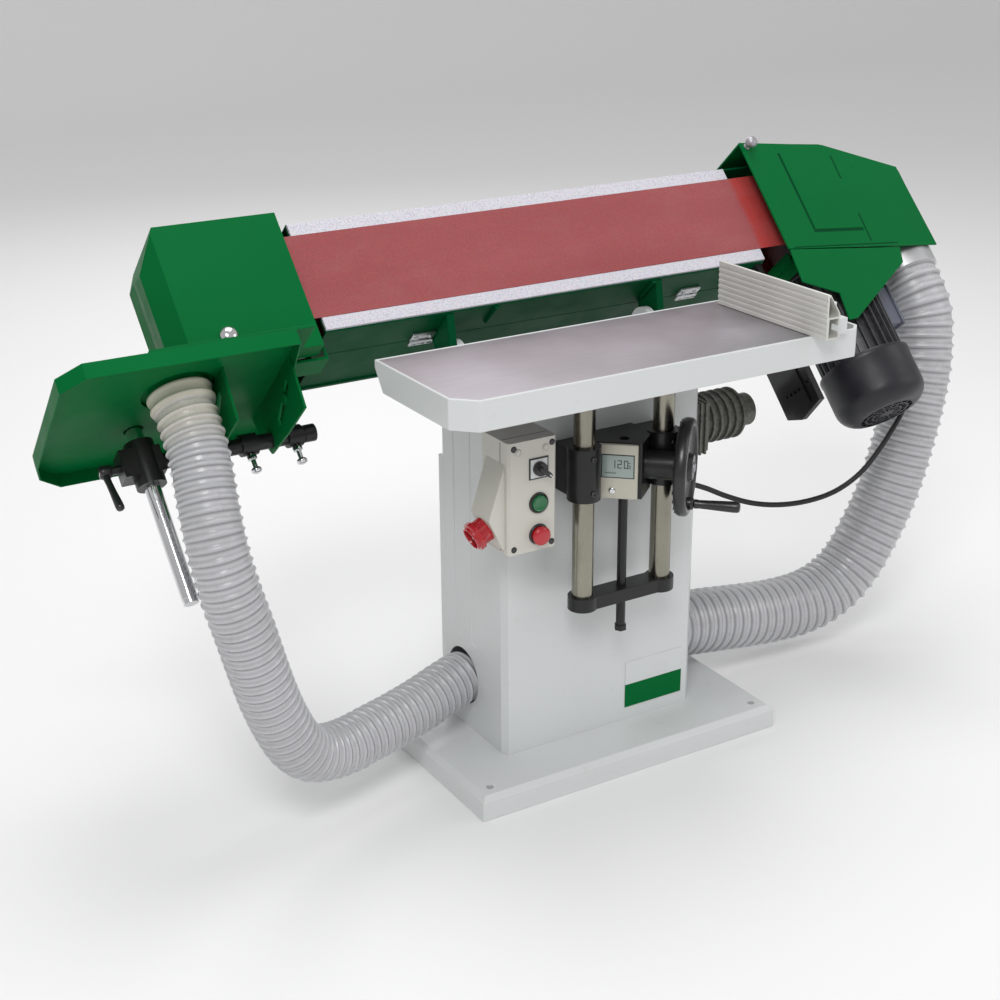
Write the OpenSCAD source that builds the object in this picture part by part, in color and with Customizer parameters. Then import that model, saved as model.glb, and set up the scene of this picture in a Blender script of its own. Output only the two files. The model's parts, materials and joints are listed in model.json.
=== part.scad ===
// Floor-standing long-belt edge sander with a tilting sanding head, a lifting
// work table, an auxiliary table and two dust hoses.
// Units are millimetres. +X runs along the belt, +Y to the back, +Z up.
// The origin is on the floor under the column; the base plate reaches from
// base_y0 in front to base_y1 behind it.

/* [View] */
// Which sub-part to draw, or all of them

/* [Base and column] */
// Width of the base plate along X
base_w = 618; // [560:1:680]
// Front edge of the base plate
base_y0 = -258; // [-270:1:-230]
// Back edge of the base plate
base_y1 = 125; // [120:1:200]
// Height of the base plate
base_h = 43; // [30:1:60]
// Bevel along the base plate's upper edge
base_bevel = 9; // [4:1:12]
// Distance from each floor-bolt hole to the plate's edges
bolt_inset = 30; // [24:1:50]
// Radius of each floor-bolt hole
bolt_hole_r = 6.5; // [5:0.5:9]
// Left side of the column
column_x0 = -204; // [-220:1:-190]
// Right side of the column
column_x1 = 196; // [190:1:220]
// Front face of the column
column_y0 = -156; // [-170:1:-140]
// Back edge of the column's sides
column_y1 = 45; // [30:1:50]
// Height of the column's top
column_top = 680; // [660:1:684]
// Sheet thickness of the column
column_t = 5; // [3:0.5:8]
// Radius of the left dust hose's opening in the column
hose_hole_r = 52; // [50:1:56]
// Height of the left dust hose's opening
hose_hole_z = 138; // [125:1:160]

/* [Head] */
// Tilt of the belt face from the horizontal
tilt_deg = 47; // [0:1:90]
// Belt width
belt_w = 150; // [100:1:200]
// Belt thickness
belt_t = 1.2; // [1:0.1:2]
// Radius of the drive drum
drive_r = 75; // [60:1:80]
// Radius of the idler drum
idler_r = 60; // [50:1:65]
// Position of the drive drum and motor along X
drive_x = 616; // [600:1:625]
// Position of the idler drum along X
idler_x = -612; // [-616:1:-590]
// Half length of the head frame
frame_half = 440; // [400:1:445]
// Width of each speckled strip beside the belt
strip_w = 22.5; // [15:0.5:30]

/* [Motor] */
// Radius of the motor body over its fins
motor_r = 80; // [70:1:81]
// Radius of the fan cover
fan_cover_r = 88; // [80:1:92]
// Far end of the fan cover, measured below the belt's lower edge
motor_end = 338; // [300:1:345]

/* [Table] */
// Left edge of the table
table_x0 = -392; // [-410:1:-380]
// Right edge of the table
table_x1 = 378; // [360:1:390]
// Front edge of the table
table_y0 = -345; // [-360:1:-330]
// Back edge of the table
table_y1 = -78; // [-90:1:-76]
// Height of the table's surface
table_z = 769; // [740:1:800]
// Depth of the table's rim
rim_h = 49; // [40:1:60]
// Radius of each guide bar
bar_r = 18; // [16:1:19]
// Height of the fence
fence_h = 75; // [50:1:90]
// Radius of the handwheel
wheel_r = 82; // [70:1:84]

/* [Auxiliary table] */
// Radius of the black support bar
support_r = 13; // [10:1:15]
// Radius of the chrome rod
rod_r = 13; // [8:1:14]
// Depth of the auxiliary table's folded rim
aux_rim = 25; // [15:1:30]

/* [Hoses] */
// Outer radius of the left dust hose
hose_l_r = 48; // [44:1:49]
// Outer radius of the right dust hose
hose_r_r = 63; // [56:1:64]
// Radius of the motor cable
cable_r = 5; // [4:0.5:7]

/* [Hidden] */
// Joint between the motor body and its fan cover
fan_w = motor_end - 104;
// Slant of the rim's cut back corners
rim_cut = 19;
$fn = 64;
belt_y = 3;
belt_z = 825;
pivot_y = 8;
pivot_z = 716;
drive_n = -drive_r - belt_t;
idler_n = -idler_r - belt_t;
// The tilt pivot in the head's frame
pivot_w = (pivot_y - belt_y) * cos(tilt_deg) + (pivot_z - belt_z) * sin(tilt_deg);
pivot_n = (pivot_z - belt_z) * cos(tilt_deg) - (pivot_y - belt_y) * sin(tilt_deg);
bar_y = -215;
bar_x = [-88, 70];
bar_z0 = 335;
screw_x = -9;
wheel_pos = [72, -275, 561];
wheel_turn = -45;
crank_out = [10, -68];
right_hole_z = 130;
right_hole_r = 67;
cable_hole = [-26, 430];
outlet_x = -4;
outlet_z = hose_hole_z + 65;
outlet_r = 70;
lid_slope = 9.65;
rod_x = -737;
rod_n = -157;
nozzle_x = -690;
nozzle_n = -40;
port_x = 838;
port_n = -97;
hose_sides = 10;

// Route of the left dust hose, from the head to the column
left_route = [
  [-690, -33.2, 727.5], [-690, -60.5, 698.2], [-692, -88, 665], [-696, -112, 626], [-699, -133, 588],
  [-699, -149, 550], [-694, -160, 505], [-685, -165, 460], [-674, -166, 420], [-662, -164, 375],
  [-648, -159, 325], [-632, -152, 275], [-611, -143, 222], [-586, -133, 174], [-556, -123, 142],
  [-518, -111, 126], [-475, -98, 120], [-425, -82, 120], [-370, -65, 121], [-310, -45, 124],
  [-250, -25, 131], [-200, -12, 138]
];
// Route of the right dust hose, from the head to the column
right_route = [
  [838, 31.7, 713.5], [838, 12.6, 693], [840, -5, 667], [841, -17, 636], [836, -27, 598],
  [829, -36, 556], [819, -41, 508], [806, -45, 460], [792, -47, 412], [777, -48, 362],
  [760, -48, 312], [738, -47, 262], [712, -45, 214], [682, -43, 168], [645, -40, 132],
  [598, -36, 108], [548, -33, 99], [495, -30, 98], [440, -28, 102], [385, -27, 109],
  [325, -26, 117], [260, -26, 125], [192, -26, 130]
];
// Route of the motor cable, from the terminal box to the column
cable_route = [
  [710, -45, 640.1], [710, -65.5, 618.1], [715, -90, 587], [720, -107, 556], [718, -117, 524],
  [704, -120, 494], [684, -119, 464], [658, -115, 427], [630, -109, 393], [596, -101, 367],
  [556, -92, 350], [504, -80, 342], [450, -68, 344], [400, -54, 354], [352, -40, 373],
  [305, -32, 397], [252, -28, 418], [197, -26, 430]
];

// Places its children in the head's frame: X along the belt, Y up the belt's
// width from its lower edge, Z out of the belt's face
module head() {
  translate([0, belt_y, belt_z])
    rotate([tilt_deg, 0, 0])
      children();
}

// A cylinder between two heights on the Y axis of the head's frame
module along_w(r, w0, w1) {
  translate([0, w0, 0])
    rotate([-90, 0, 0])
      cylinder(r = r, h = w1 - w0);
}

// A cylinder along X between two positions
module along_x(r, x0, x1) {
  translate([x0, 0, 0])
    rotate([0, 90, 0])
      cylinder(r = r, h = x1 - x0);
}

// Extrudes a shape drawn in X and N along the belt's width
module extrude_w(w0, w1) {
  translate([0, w1, 0])
    rotate([90, 0, 0])
      linear_extrude(w1 - w0)
        children();
}

// Extrudes a shape drawn in W and N along X
module extrude_x(x0, x1) {
  translate([x0, 0, 0])
    rotate([90, 0, 90])
      linear_extrude(x1 - x0)
        children();
}

// Unit vector
function unit(v) = v / norm(v);

// Direction of a route at point i
function heading(p, i) =
  unit(p[min(i + 1, len(p) - 1)] - p[max(i - 1, 0)]);

// Ring of points around a route
function ring(c, t, r) =
  let (u = unit(cross(t, [0.2, 1, 0.1])), v = cross(t, u))
    [for (k = [0:hose_sides - 1])
      c + r * cos(360 * k / hose_sides) * u + r * sin(360 * k / hose_sides) * v];

// Round tube of radius r along a route
module tube_along(p, r) {
  n = len(p);
  s = hose_sides;
  rings = [for (i = [0:n - 1]) each ring(p[i], heading(p, i), r)];
  sides = [for (i = [0:n - 2], k = [0:s - 1])
    [i * s + k, i * s + (k + 1) % s, (i + 1) * s + (k + 1) % s, (i + 1) * s + k]];
  first = [[for (k = [0:s - 1]) s - 1 - k]];
  last = [[for (k = [0:s - 1]) (n - 1) * s + k]];
  polyhedron(rings, concat(sides, first, last), convexity = 6);
}

// ---------------------------------------------------------------- stand

module base_plate() {
  color([0.88, 0.89, 0.9])
    difference() {
      union() {
        translate([-base_w / 2, base_y0, 0])
          cube([base_w, base_y1 - base_y0, base_h - base_bevel]);
        intersection() {
          extrude_x(-base_w / 2, base_w / 2)
            polygon([[base_y0, base_h - base_bevel], [base_y1, base_h - base_bevel],
              [base_y1 - base_bevel, base_h], [base_y0 + base_bevel, base_h]]);
          extrude_w(base_y0, base_y1)
            polygon([[-base_w / 2, base_h - base_bevel], [base_w / 2, base_h - base_bevel],
              [base_w / 2 - base_bevel, base_h], [-base_w / 2 + base_bevel, base_h]]);
        }
      }
      for (x = [-1, 1], y = [base_y0 + bolt_inset, base_y1 - bolt_inset])
        translate([x * (base_w / 2 - bolt_inset), y, -1])
          cylinder(r = bolt_hole_r, h = base_h + 2);
    }
}

// Plan of the column's outside, with chamfered front corners
module column_plan(inset) {
  c = 14;
  x0 = column_x0 + inset;
  x1 = column_x1 - inset;
  y0 = column_y0 + inset;
  polygon([[x0, column_y1], [x0, y0 + c], [x0 + c / 2, y0], [x1 - c, y0],
    [x1, y0 + c], [x1, column_y1]]);
}

module column_shell() {
  cheek_r = 34;
  color([0.86, 0.87, 0.88]) {
    difference() {
      union() {
        translate([0, 0, base_h])
          linear_extrude(column_top - base_h)
            column_plan(0);
        // cheeks that carry the pivot pins
        for (x = [column_x0, column_x1 - 14])
          translate([x, 0, 0]) {
            translate([0, pivot_y - cheek_r, column_top - 130])
              cube([14, 2 * cheek_r, pivot_z - column_top + 130]);
            translate([0, pivot_y, pivot_z])
              along_x(cheek_r, 0, 14);
          }
      }
      // hollow inside, open at the back
      translate([0, 0, base_h + column_t])
        linear_extrude(column_top - base_h - 2 * column_t)
          column_plan(column_t);
      translate([column_x0 + column_t, column_y1 - 40, base_h + column_t])
        cube([column_x1 - column_x0 - 2 * column_t, 80, column_top - base_h - 2 * column_t]);
      // grooves in the sides
      for (x = [column_x0 - 1, column_x1 - 1])
        for (y = [-62, -6])
          translate([x, y, 210])
            cube([2, 18, 400]);
      // openings for the two hoses
      translate([0, -12, hose_hole_z])
        along_x(hose_hole_r, column_x0 - 10, column_x0 + 20);
      translate([0, -26, right_hole_z])
        along_x(right_hole_r, column_x1 - 20, column_x1 + 10);
      // hole for the motor cable
      translate([0, cable_hole[0], cable_hole[1]])
        along_x(cable_r + 3, column_x1 - 20, column_x1 + 10);
    }
    // pivot pins, each with a collar outside the arm
    translate([0, pivot_y, pivot_z]) {
      along_x(14, column_x0 - 19, column_x0);
      along_x(20, column_x0 - 24, column_x0 - 18);
      along_x(14, column_x1, column_x1 + 19);
      along_x(20, column_x1 + 18, column_x1 + 24);
    }
  }
}

module rear_panel() {
  color([0.84, 0.85, 0.86])
    difference() {
      union() {
        translate([column_x0, column_y1, base_h])
          cube([column_x1 - column_x0, 4, column_top - base_h]);
        translate([column_x0 + 4, column_y1 + 4, 100])
          cube([column_x1 - column_x0 - 8, 22, 430]);
      }
      translate([column_x0 + 8, column_y1 - 1, 104])
        cube([column_x1 - column_x0 - 16, 23, 422]);
      translate([outlet_x, column_y1, outlet_z])
        rotate([-90, 0, 0])
          cylinder(r = outlet_r - 3, h = 100);
    }
}

module dust_spigot() {
  color([0.7, 0.7, 0.7])
    translate([outlet_x, column_y1 + 26, outlet_z])
      rotate([-90, 0, 0])
        difference() {
          union() {
            cylinder(r = outlet_r, h = 60);
            // flange against the panel
            cylinder(r = outlet_r + 14, h = 3);
          }
          translate([0, 0, -1])
            cylinder(r = outlet_r - 3, h = 70);
        }
}

module front_plate() {
  color([0.02, 0.36, 0.16])
    translate([46, column_y0 - 1.5, 67])
      cube([124, 1.5, 90]);
}

module tilt_gearbox() {
  gx = column_x1;
  color([0.3, 0.3, 0.28])
    difference() {
      union() {
        translate([gx, -106, 496])
          cube([12, 104, 96]);
        translate([gx + 11, -100, 500])
          cube([50, 88, 90]);
        translate([0, -56, 546])
          along_x(41, gx + 60, gx + 150);
        translate([0, -56, 546])
          along_x(30, gx + 149, gx + 180);
        for (k = [0:4])
          translate([0, -56, 546])
            along_x(47, gx + 70 + 17 * k, gx + 75 + 17 * k);
        // cooling ribs on the gear case
        for (k = [0:3])
          translate([gx + 16 + 11 * k, -105, 496])
            cube([5, 98, 98]);
      }
      translate([0, -56, 546])
        along_x(12, gx + 168, gx + 190);
    }
}

// -------------------------------------------------------------- controls

box_x = [-244, -153];
box_y = [-235, -158];
box_z = [457, 647];

module control_box() {
  color([0.8, 0.78, 0.72])
    difference() {
      translate([box_x[0], box_y[0], box_z[0]])
        cube([box_x[1] - box_x[0], box_y[1] - box_y[0] + 2, box_z[1] - box_z[0]]);
      // chamfered front edges
      for (x = box_x)
        translate([x, box_y[0], box_z[0] - 1])
          rotate([0, 0, 45])
            cube([7, 7, 400], center = true);
      translate([box_x[0] + 4, box_y[0] + 4, box_z[0] + 4])
        cube([box_x[1] - box_x[0] - 8, box_y[1] - box_y[0] - 8, box_z[1] - box_z[0] - 8]);
      for (b = [[-188, 598, 8.3], [-188, 539, 14.3], [-188, 485, 14.3]])
        translate([b[0], box_y[0] - 1, b[1]])
          rotate([-90, 0, 0])
            cylinder(r = b[2], h = 8);
    }
}

module box_screws() {
  color([0.25, 0.25, 0.25])
    for (x = [box_x[0] + 10, box_x[1] - 10], z = [box_z[0] + 10, box_z[1] - 10])
      translate([x, box_y[0] - 2, z])
        rotate([-90, 0, 0])
          cylinder(r = 4, h = 2);
}

module selector_plate() {
  color([0.75, 0.74, 0.7]) {
    difference() {
      translate([-206, box_y[0] - 2, 580])
        cube([36, 2, 36]);
      translate([-188, box_y[0] - 3, 598])
        rotate([-90, 0, 0])
          cylinder(r = 8.3, h = 5);
    }
    // blanking plugs above the plate
    for (x = [-214, -184])
      translate([x, box_y[0] - 1.5, 630])
        rotate([-90, 0, 0])
          cylinder(r = 6, h = 1.5);
  }
}

module start_button() {
  color([0.02, 0.42, 0.2])
    translate([-188, box_y[0] - 7, 539])
      rotate([-90, 0, 0]) {
        cylinder(r = 14, h = 12);
        translate([0, 0, 12])
          cylinder(r = 6, h = 10);
      }
}

module stop_button() {
  color([0.75, 0.05, 0.08])
    translate([-188, box_y[0] - 16, 485])
      rotate([-90, 0, 0]) {
        cylinder(r = 16, h = 11);
        cylinder(r = 14, h = 21);
        translate([0, 0, 21])
          cylinder(r = 6, h = 10);
      }
}

module selector_knob() {
  color([0.05, 0.05, 0.05])
    translate([-188, box_y[0], 598])
      rotate([-90, 0, 0]) {
        cylinder(r = 8, h = 14);
        translate([0, 0, -12])
          cylinder(r = 12, h = 9.6);
        rotate([0, 0, 40])
          translate([-4, -5, -20])
            cube([24, 10, 9]);
      }
}

module inlet_housing() {
  color([0.82, 0.8, 0.75])
    difference() {
      extrude_w(-225, -168)
        polygon([[box_x[0], 610], [box_x[0] - 30, 520], [box_x[0] - 4, 466], [box_x[0], 466]]);
      translate([box_x[0] - 20, -196, 497])
        rotate([0, -115, 0])
          translate([0, 0, -20])
            cylinder(r = 20, h = 60);
    }
}

module power_inlet() {
  color([0.75, 0.05, 0.1])
    translate([box_x[0] - 20, -196, 497])
      rotate([0, -115, 0])
        difference() {
          union() {
            translate([0, 0, -12])
              cylinder(r = 20, h = 42);
            translate([0, 0, 16])
              cylinder(r = 25, h = 9);
          }
          translate([0, 0, 6])
            cylinder(r = 17, h = 40);
        }
}

// ------------------------------------------------------------- table lift

// Places its children on the handwheel's axis, which runs along X here
module wheel_frame() {
  translate(wheel_pos)
    rotate([0, 0, wheel_turn])
      children();
}

module lift_bracket() {
  color([0.06, 0.06, 0.06])
    difference() {
      union() {
        for (x = bar_x) {
          translate([x, bar_y, 519])
            cylinder(r = 28, h = 91);
          translate([x - 22, bar_y, 524])
            cube([44, column_y0 - bar_y, 80]);
        }
        // gear case between the bars, its front turned towards the left
        translate([0, 0, 512])
          linear_extrude(96)
            polygon([[-66, -190], [-54.1, -206.8], [-5.3, -251], [-1, -255], [3, -252],
              [46, -215], [46, column_y0], [-66, column_y0]]);
        // boss for the handwheel's shaft
        wheel_frame()
          along_x(24, -84, -14);
      }
      for (x = bar_x)
        translate([x, bar_y, 500])
          cylinder(r = bar_r + 0.06, h = 120);
      translate([screw_x, bar_y, 500])
        cylinder(r = 8.5, h = 120);
      // socket for the shaft
      wheel_frame()
        along_x(8.06, -60, 0);
    }
}

module depth_readout() {
  color([0.72, 0.7, 0.64])
    translate([-59.5, -212.7, 513])
      rotate([0, 0, -42.2]) {
        difference() {
          cube([66, 7.9, 94]);
          // window of the display
          translate([7, -1, 38])
            cube([52, 2.5, 38]);
        }
        translate([24, -2, 14])
          rotate([-90, 0, 0])
            cylinder(r = 6, h = 2);
      }
}

module handwheel() {
  color([0.05, 0.05, 0.05])
    wheel_frame() {
      // shaft and hub
      along_x(8, -58, 6);
      along_x(22, -12, 14);
      difference() {
        along_x(wheel_r, -10, 11);
        along_x(wheel_r - 14, -11, -4);
        along_x(wheel_r - 14, 4, 12);
      }
      // spindle of the crank handle, in its bushing
      translate([0, crank_out[0], crank_out[1]]) {
        along_x(11, 3, 15);
        along_x(5, 10, 88);
      }
    }
}

module crank_handle() {
  color([0.03, 0.03, 0.03])
    wheel_frame()
      translate([0, crank_out[0], crank_out[1]])
        difference() {
          union() {
            along_x(8, 15.4, 92);
            along_x(9.5, 24, 90);
          }
          along_x(5.06, 15, 88.4);
        }
}

// ------------------------------------------------------------------ table

module table_plan(inset) {
  c = 34 - 0.6 * inset;
  x0 = table_x0 + inset;
  x1 = table_x1 - inset;
  y0 = table_y0 + inset;
  y1 = table_y1 - inset;
  polygon([[x0, y1], [x0, y0 + c], [x0 + c, y0], [x1 - c / 2, y0], [x1, y0 + c / 2], [x1, y1]]);
}

module table_rim() {
  color([0.88, 0.89, 0.9])
    translate([0, 0, table_z - rim_h])
      difference() {
        linear_extrude(rim_h)
          table_plan(0);
        translate([0, 0, -1])
          linear_extrude(rim_h + 2)
            table_plan(5);
        // lower back corners cut away at a slant
        for (side = [[table_x0, -45], [table_x1, -135]])
          translate([side[0], table_y1, 0])
            rotate([0, 0, side[1]])
              rotate([90, 0, 0])
                translate([0, 0, -60])
                  linear_extrude(120)
                    polygon([[-60, -1], [rim_cut, -1], [0, rim_h - 12], [-60, rim_h - 12]]);
      }
}

module table_top() {
  color([0.62, 0.6, 0.64]) {
    translate([0, 0, table_z - 9])
      linear_extrude(8.4)
        table_plan(5);
    // stiffening ribs under the plate
    for (x = [-250, -150, 130, 250])
      translate([x, table_y0 + 5, table_z - 40])
        cube([6, table_y1 - table_y0 - 10, 31.1]);
  }
}

module guide_bars() {
  color([0.35, 0.33, 0.26])
    for (x = bar_x)
      translate([x, bar_y, bar_z0])
        cylinder(r = bar_r, h = table_z - 9 - bar_z0);
}

module lift_screw() {
  color([0.12, 0.12, 0.12]) {
    translate([screw_x, bar_y, 272])
      cylinder(r = 8, h = 328);
    translate([screw_x, bar_y, 262])
      cylinder(r = 11, h = 10.1, $fn = 6);
  }
}

module crossbar() {
  color([0.05, 0.05, 0.05])
    difference() {
      union() {
        for (x = bar_x)
          translate([x, bar_y, 322])
            cylinder(r = 25, h = 24);
        translate([bar_x[0], bar_y - 19, 322])
          cube([bar_x[1] - bar_x[0], 38, 24]);
      }
      for (x = bar_x)
        translate([x, bar_y, bar_z0])
          cylinder(r = bar_r, h = 30);
      translate([screw_x, bar_y, 300])
        cylinder(r = 8, h = 60);
    }
}

// Fence pivots about this point of the table
fence_px = 292;
fence_py = -332;

module fence() {
  color([0.75, 0.75, 0.76])
    translate([fence_px - 26, -377, table_z + 0.3])
      difference() {
        rotate([90, 0, 180])
          translate([-28, 0, 0])
            linear_extrude(279)
              difference() {
                polygon([[0, 0], [28, 0], [28, fence_h], [22, fence_h], [0, 42]]);
                polygon([[3, 3], [22, 3], [22, 34], [3, 34]]);
                polygon([[3, 37], [24, 37], [24, fence_h - 4], [21, fence_h - 4], [3, 43]]);
                // T-slot opening at the back
                polygon([[-1, 12], [4, 12], [4, 22], [-1, 22]]);
              }
        // ribs on the working face
        for (k = [0:6])
          translate([-1, -1, 6 + 9.4 * k])
            cube([2.2, 281, 4.5]);
      }
}

module fence_clamp() {
  color([0.85, 0.86, 0.87]) {
    translate([fence_px + 2.02, fence_py - 26, table_z + 0.3])
      cube([34, 44, 26]);
    translate([fence_px + 22, fence_py, table_z + 26])
      cylinder(r = 9, h = 22);
  }
}

// ------------------------------------------------------------------- head

module head_frame() {
  x0 = -frame_half;
  len_x = 2 * frame_half;
  color([0.0, 0.2, 0.1])
    head() {
      // side walls of the beam
      translate([x0, -25, -84])
        cube([len_x, 3, 78]);
      translate([x0, 172, -84])
        cube([len_x, 3, 78]);
      // deck between them
      translate([x0, -25, -12])
        cube([len_x, 200, 6]);
      // plate that carries the drive housing
      translate([frame_half - 1, 172, -84])
        cube([81, 3, 78]);
    }
}

module cross_ribs() {
  color([0.0, 0.2, 0.1])
    head() {
      // ribs under the deck
      for (x = [-300, -100, 100, 300])
        translate([x, -22, -80])
          cube([5, 194, 68]);
      // ribs outside, on the lower side
      for (x = [-130, 190])
        translate([x, -31, -60])
          cube([8, 6, 52]);
      // end beams that carry the covers
      translate([-frame_half - 96, 60, -40])
        cube([frame_half - 204, 30, 18]);
      translate([305, 60, -40])
        cube([frame_half - 229, 30, 18]);
    }
}

module pivot_arms() {
  color([0.0, 0.2, 0.1])
    head()
      for (x = [column_x0 - 17, column_x1 + 3])
        difference() {
          extrude_x(x, x + 14)
            union() {
              polygon([[-25, -10], [-25, -83], [-82, -104], [-104, -84], [-98, -58]]);
              translate([pivot_w, pivot_n])
                circle(r = 30);
            }
          translate([0, pivot_w, pivot_n])
            along_x(14.06, x - 1, x + 15);
        }
}

module platen() {
  color([0.5, 0.5, 0.52])
    head()
      translate([-frame_half, 0, -6])
        cube([2 * frame_half, belt_w, 6 - belt_t - 0.1]);
}

module edge_strips() {
  color([0.78, 0.77, 0.82])
    head()
      for (w = [-strip_w, belt_w])
        translate([-frame_half, w, -6])
          cube([2 * frame_half, strip_w, 5.5]);
}

// Outline of a loop around both drums, grown by g
module loop(g) {
  r1 = drive_r + g;
  r2 = idler_r + g;
  dx = drive_x - idler_x;
  dn = drive_n - idler_n;
  a = -atan2(dn, dx);
  b = asin((drive_r - idler_r) / norm([dx, dn]));
  lo = -a - b;
  translate([drive_x, drive_n])
    circle(r = r1, $fn = 128);
  translate([idler_x, idler_n])
    circle(r = r2, $fn = 128);
  polygon([
    [idler_x, idler_n + r2], [drive_x, drive_n + r1],
    [drive_x + r1 * sin(lo), drive_n - r1 * cos(lo)],
    [idler_x + r2 * sin(lo), idler_n - r2 * cos(lo)]
  ]);
}

module sanding_belt() {
  color([0.62, 0.3, 0.32])
    head()
      extrude_w(0, belt_w)
        difference() {
          loop(belt_t);
          loop(0);
        }
}

module guard_hinges() {
  color([0.75, 0.75, 0.75])
    head()
      for (x = [-245, 303]) {
        translate([x - 22, -31, -79])
          cube([44, 6, 20]);
        translate([0, -31.5, -88])
          along_x(2.5, x - 22, x + 22);
        translate([x - 22, -33, -86])
          cube([44, 2, 10]);
      }
}

module return_guard() {
  x0 = -frame_half + 10;
  len_x = 2 * frame_half - 33;
  color([0.0, 0.22, 0.1])
    head() {
      difference() {
        translate([x0, -25, -212])
          cube([len_x, 202, 127]);
        translate([x0 - 1, -22, -209])
          cube([len_x + 2, 196, 130]);
      }
      // seam ledge along the lower edge
      translate([x0, -28, -205])
        cube([len_x, 3, 8]);
    }
}

module tilt_quadrant() {
  color([0.05, 0.05, 0.05])
    head() {
      difference() {
        extrude_x(424, 436)
          polygon([[-25, -84], [-25, -112], [-297, -112], [-314, -76], [-306, -10], [-120, -10], [-25, -12]]);
        for (k = [0:8])
          translate([0, -76 - 190 * cos(4 * k - 12), -77 + 190 * sin(4 * k - 12) + 30])
            along_x(3, 420, 440);
      }
      // raised rib with the angle mark
      translate([421, -300, -40])
        cube([3, 180, 8]);
    }
}

// -------------------------------------------------------------- drive end

// Section of the drive housing in X and N
module housing_section(t) {
  polygon([[520 + t, 0], [520 + t, -165 + t], [905 - t, -165 + t],
    [905 - t, -80 - t / 2], [879 - t, -44 - t], [760, -25], [690, 0]]);
}

// Plan of the drive housing, its upper outer corner cut off
module housing_plan(t) {
  polygon([[520 + t, -24 + t], [520 + t, 190 - t], [690 - t / 2, 190 - t], [905 - t, 118 - t / 2],
    [905 - t, -24 + t]]);
}

module drive_housing() {
  color([0.0, 0.36, 0.17])
    head()
      difference() {
        intersection() {
          extrude_w(-24, 190)
            intersection() {
              housing_section(0);
              polygon([[500, -200], [920, -200], [920, -43], [880, -45], [760, -28], [500, -28]]);
            }
          translate([0, 0, -200])
            linear_extrude(240)
              housing_plan(0);
        }
        intersection() {
          extrude_w(-20, 186)
            housing_section(3);
          translate([0, 0, -200])
            linear_extrude(240)
              housing_plan(3);
        }
        // way in for the belt
        translate([500, -4, -160])
          cube([40, 160, 180]);
        // motor shaft
        translate([drive_x, 0, drive_n])
          along_w(22, -40, 0);
        // dust port
        translate([port_x, 0, port_n])
          along_w(60, -40, 0);
      }
}

module skirt_plate() {
  color([0.0, 0.41, 0.19])
    head() {
      translate([479, 0, 35])
        rotate([0, lid_slope, 0])
          translate([0, 0, -3])
            linear_extrude(3)
              polygon([[-8, -29.5], [-15, -97], [69, -125], [61, -181], [85, -179],
                [287, -69], [299, -36]]);
      // web that carries the plate on the housing
      difference() {
        translate([524, -44, -90])
          cube([4, 20, 112]);
        translate([479, 0, 35])
          rotate([0, lid_slope, 0])
            translate([-20, -60, -3])
              cube([200, 60, 60]);
      }
    }
}

module motor_body() {
  fins = 28;
  color([0.22, 0.22, 0.24])
    head()
      translate([drive_x, 0, drive_n])
        difference() {
          union() {
            along_w(motor_r - 10, -fan_w, -30);
            along_w(motor_r - 2, -42, -24);
            for (k = [0:fins - 1])
              rotate([0, 360 * k / fins, 0])
                translate([motor_r - 12, 2 - fan_w, -1.3])
                  cube([12, fan_w - 46, 2.6]);
          }
          along_w(15.06, -fan_w - 6, -20);
          // hollow stator space
          along_w(motor_r - 22, 10 - fan_w, -54);
        }
}

module motor_fan_cover() {
  color([0.06, 0.06, 0.06])
    head()
      translate([drive_x, 0, drive_n])
        difference() {
          union() {
            along_w(fan_cover_r, -motor_end + 8, -fan_w);
            along_w(fan_cover_r - 8, -motor_end, -motor_end + 8);
          }
          along_w(fan_cover_r - 4, -motor_end + 6, 1 - fan_w);
          // vents in the end face
          for (k = [0:11])
            rotate([0, 30 * k, 0])
              translate([28, -motor_end - 1, -3])
                cube([38, 10, 6]);
        }
}

module terminal_box() {
  color([0.42, 0.43, 0.48])
    head()
      translate([drive_x, 0, drive_n])
        rotate([0, 8, 0]) {
          translate([motor_r - 4, -168, -30])
            cube([53, 80, 56]);
          translate([motor_r + 49, -172, -34])
            cube([5, 88, 64]);
        }
}

module drive_drum() {
  color([0.45, 0.45, 0.47])
    head()
      translate([drive_x, 0, drive_n]) {
        difference() {
          along_w(drive_r - 0.4, -2, belt_w + 2);
          along_w(drive_r - 12, 20, belt_w + 3);
        }
        along_w(15, -fan_w - 36, -2);
        along_w(18, 19, belt_w - 20);
      }
}

module motor_fan() {
  color([0.1, 0.1, 0.1])
    head()
      translate([drive_x, 0, drive_n])
        difference() {
          union() {
            along_w(24, -fan_w - 48, -fan_w - 22);
            for (k = [0:7])
              rotate([0, 45 * k, 0])
                translate([20, -fan_w - 48, -1.5])
                  cube([50, 26, 3]);
          }
          along_w(15, -fan_w - 36, -fan_w - 16);
        }
}

// Outline of the hood's lid, measured along the lid and up the belt's width
module lid_plan() {
  polygon([[-10, -28], [-10, 201], [217, 198], [408, 147], [414, -34]]);
}

module hood() {
  color([0.0, 0.41, 0.19])
    head() {
      translate([479, 0, 35])
        rotate([0, lid_slope, 0]) {
          difference() {
            translate([0, 0, -3])
              linear_extrude(3)
                lid_plan();
            // L-shaped groove pressed into the lid
            translate([79, 10, -1])
              cube([7, 168, 2]);
            translate([79, 4, -1])
              cube([140, 7, 2]);
          }
          // short lip at the far end
          translate([408, -30, -9])
            cube([3, 170, 8]);
        }
      // flange on the upper side
      extrude_w(198, 201)
        polygon([[469, 34], [690, -3.4], [690, -118], [469, -118]]);
    }
}

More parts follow.
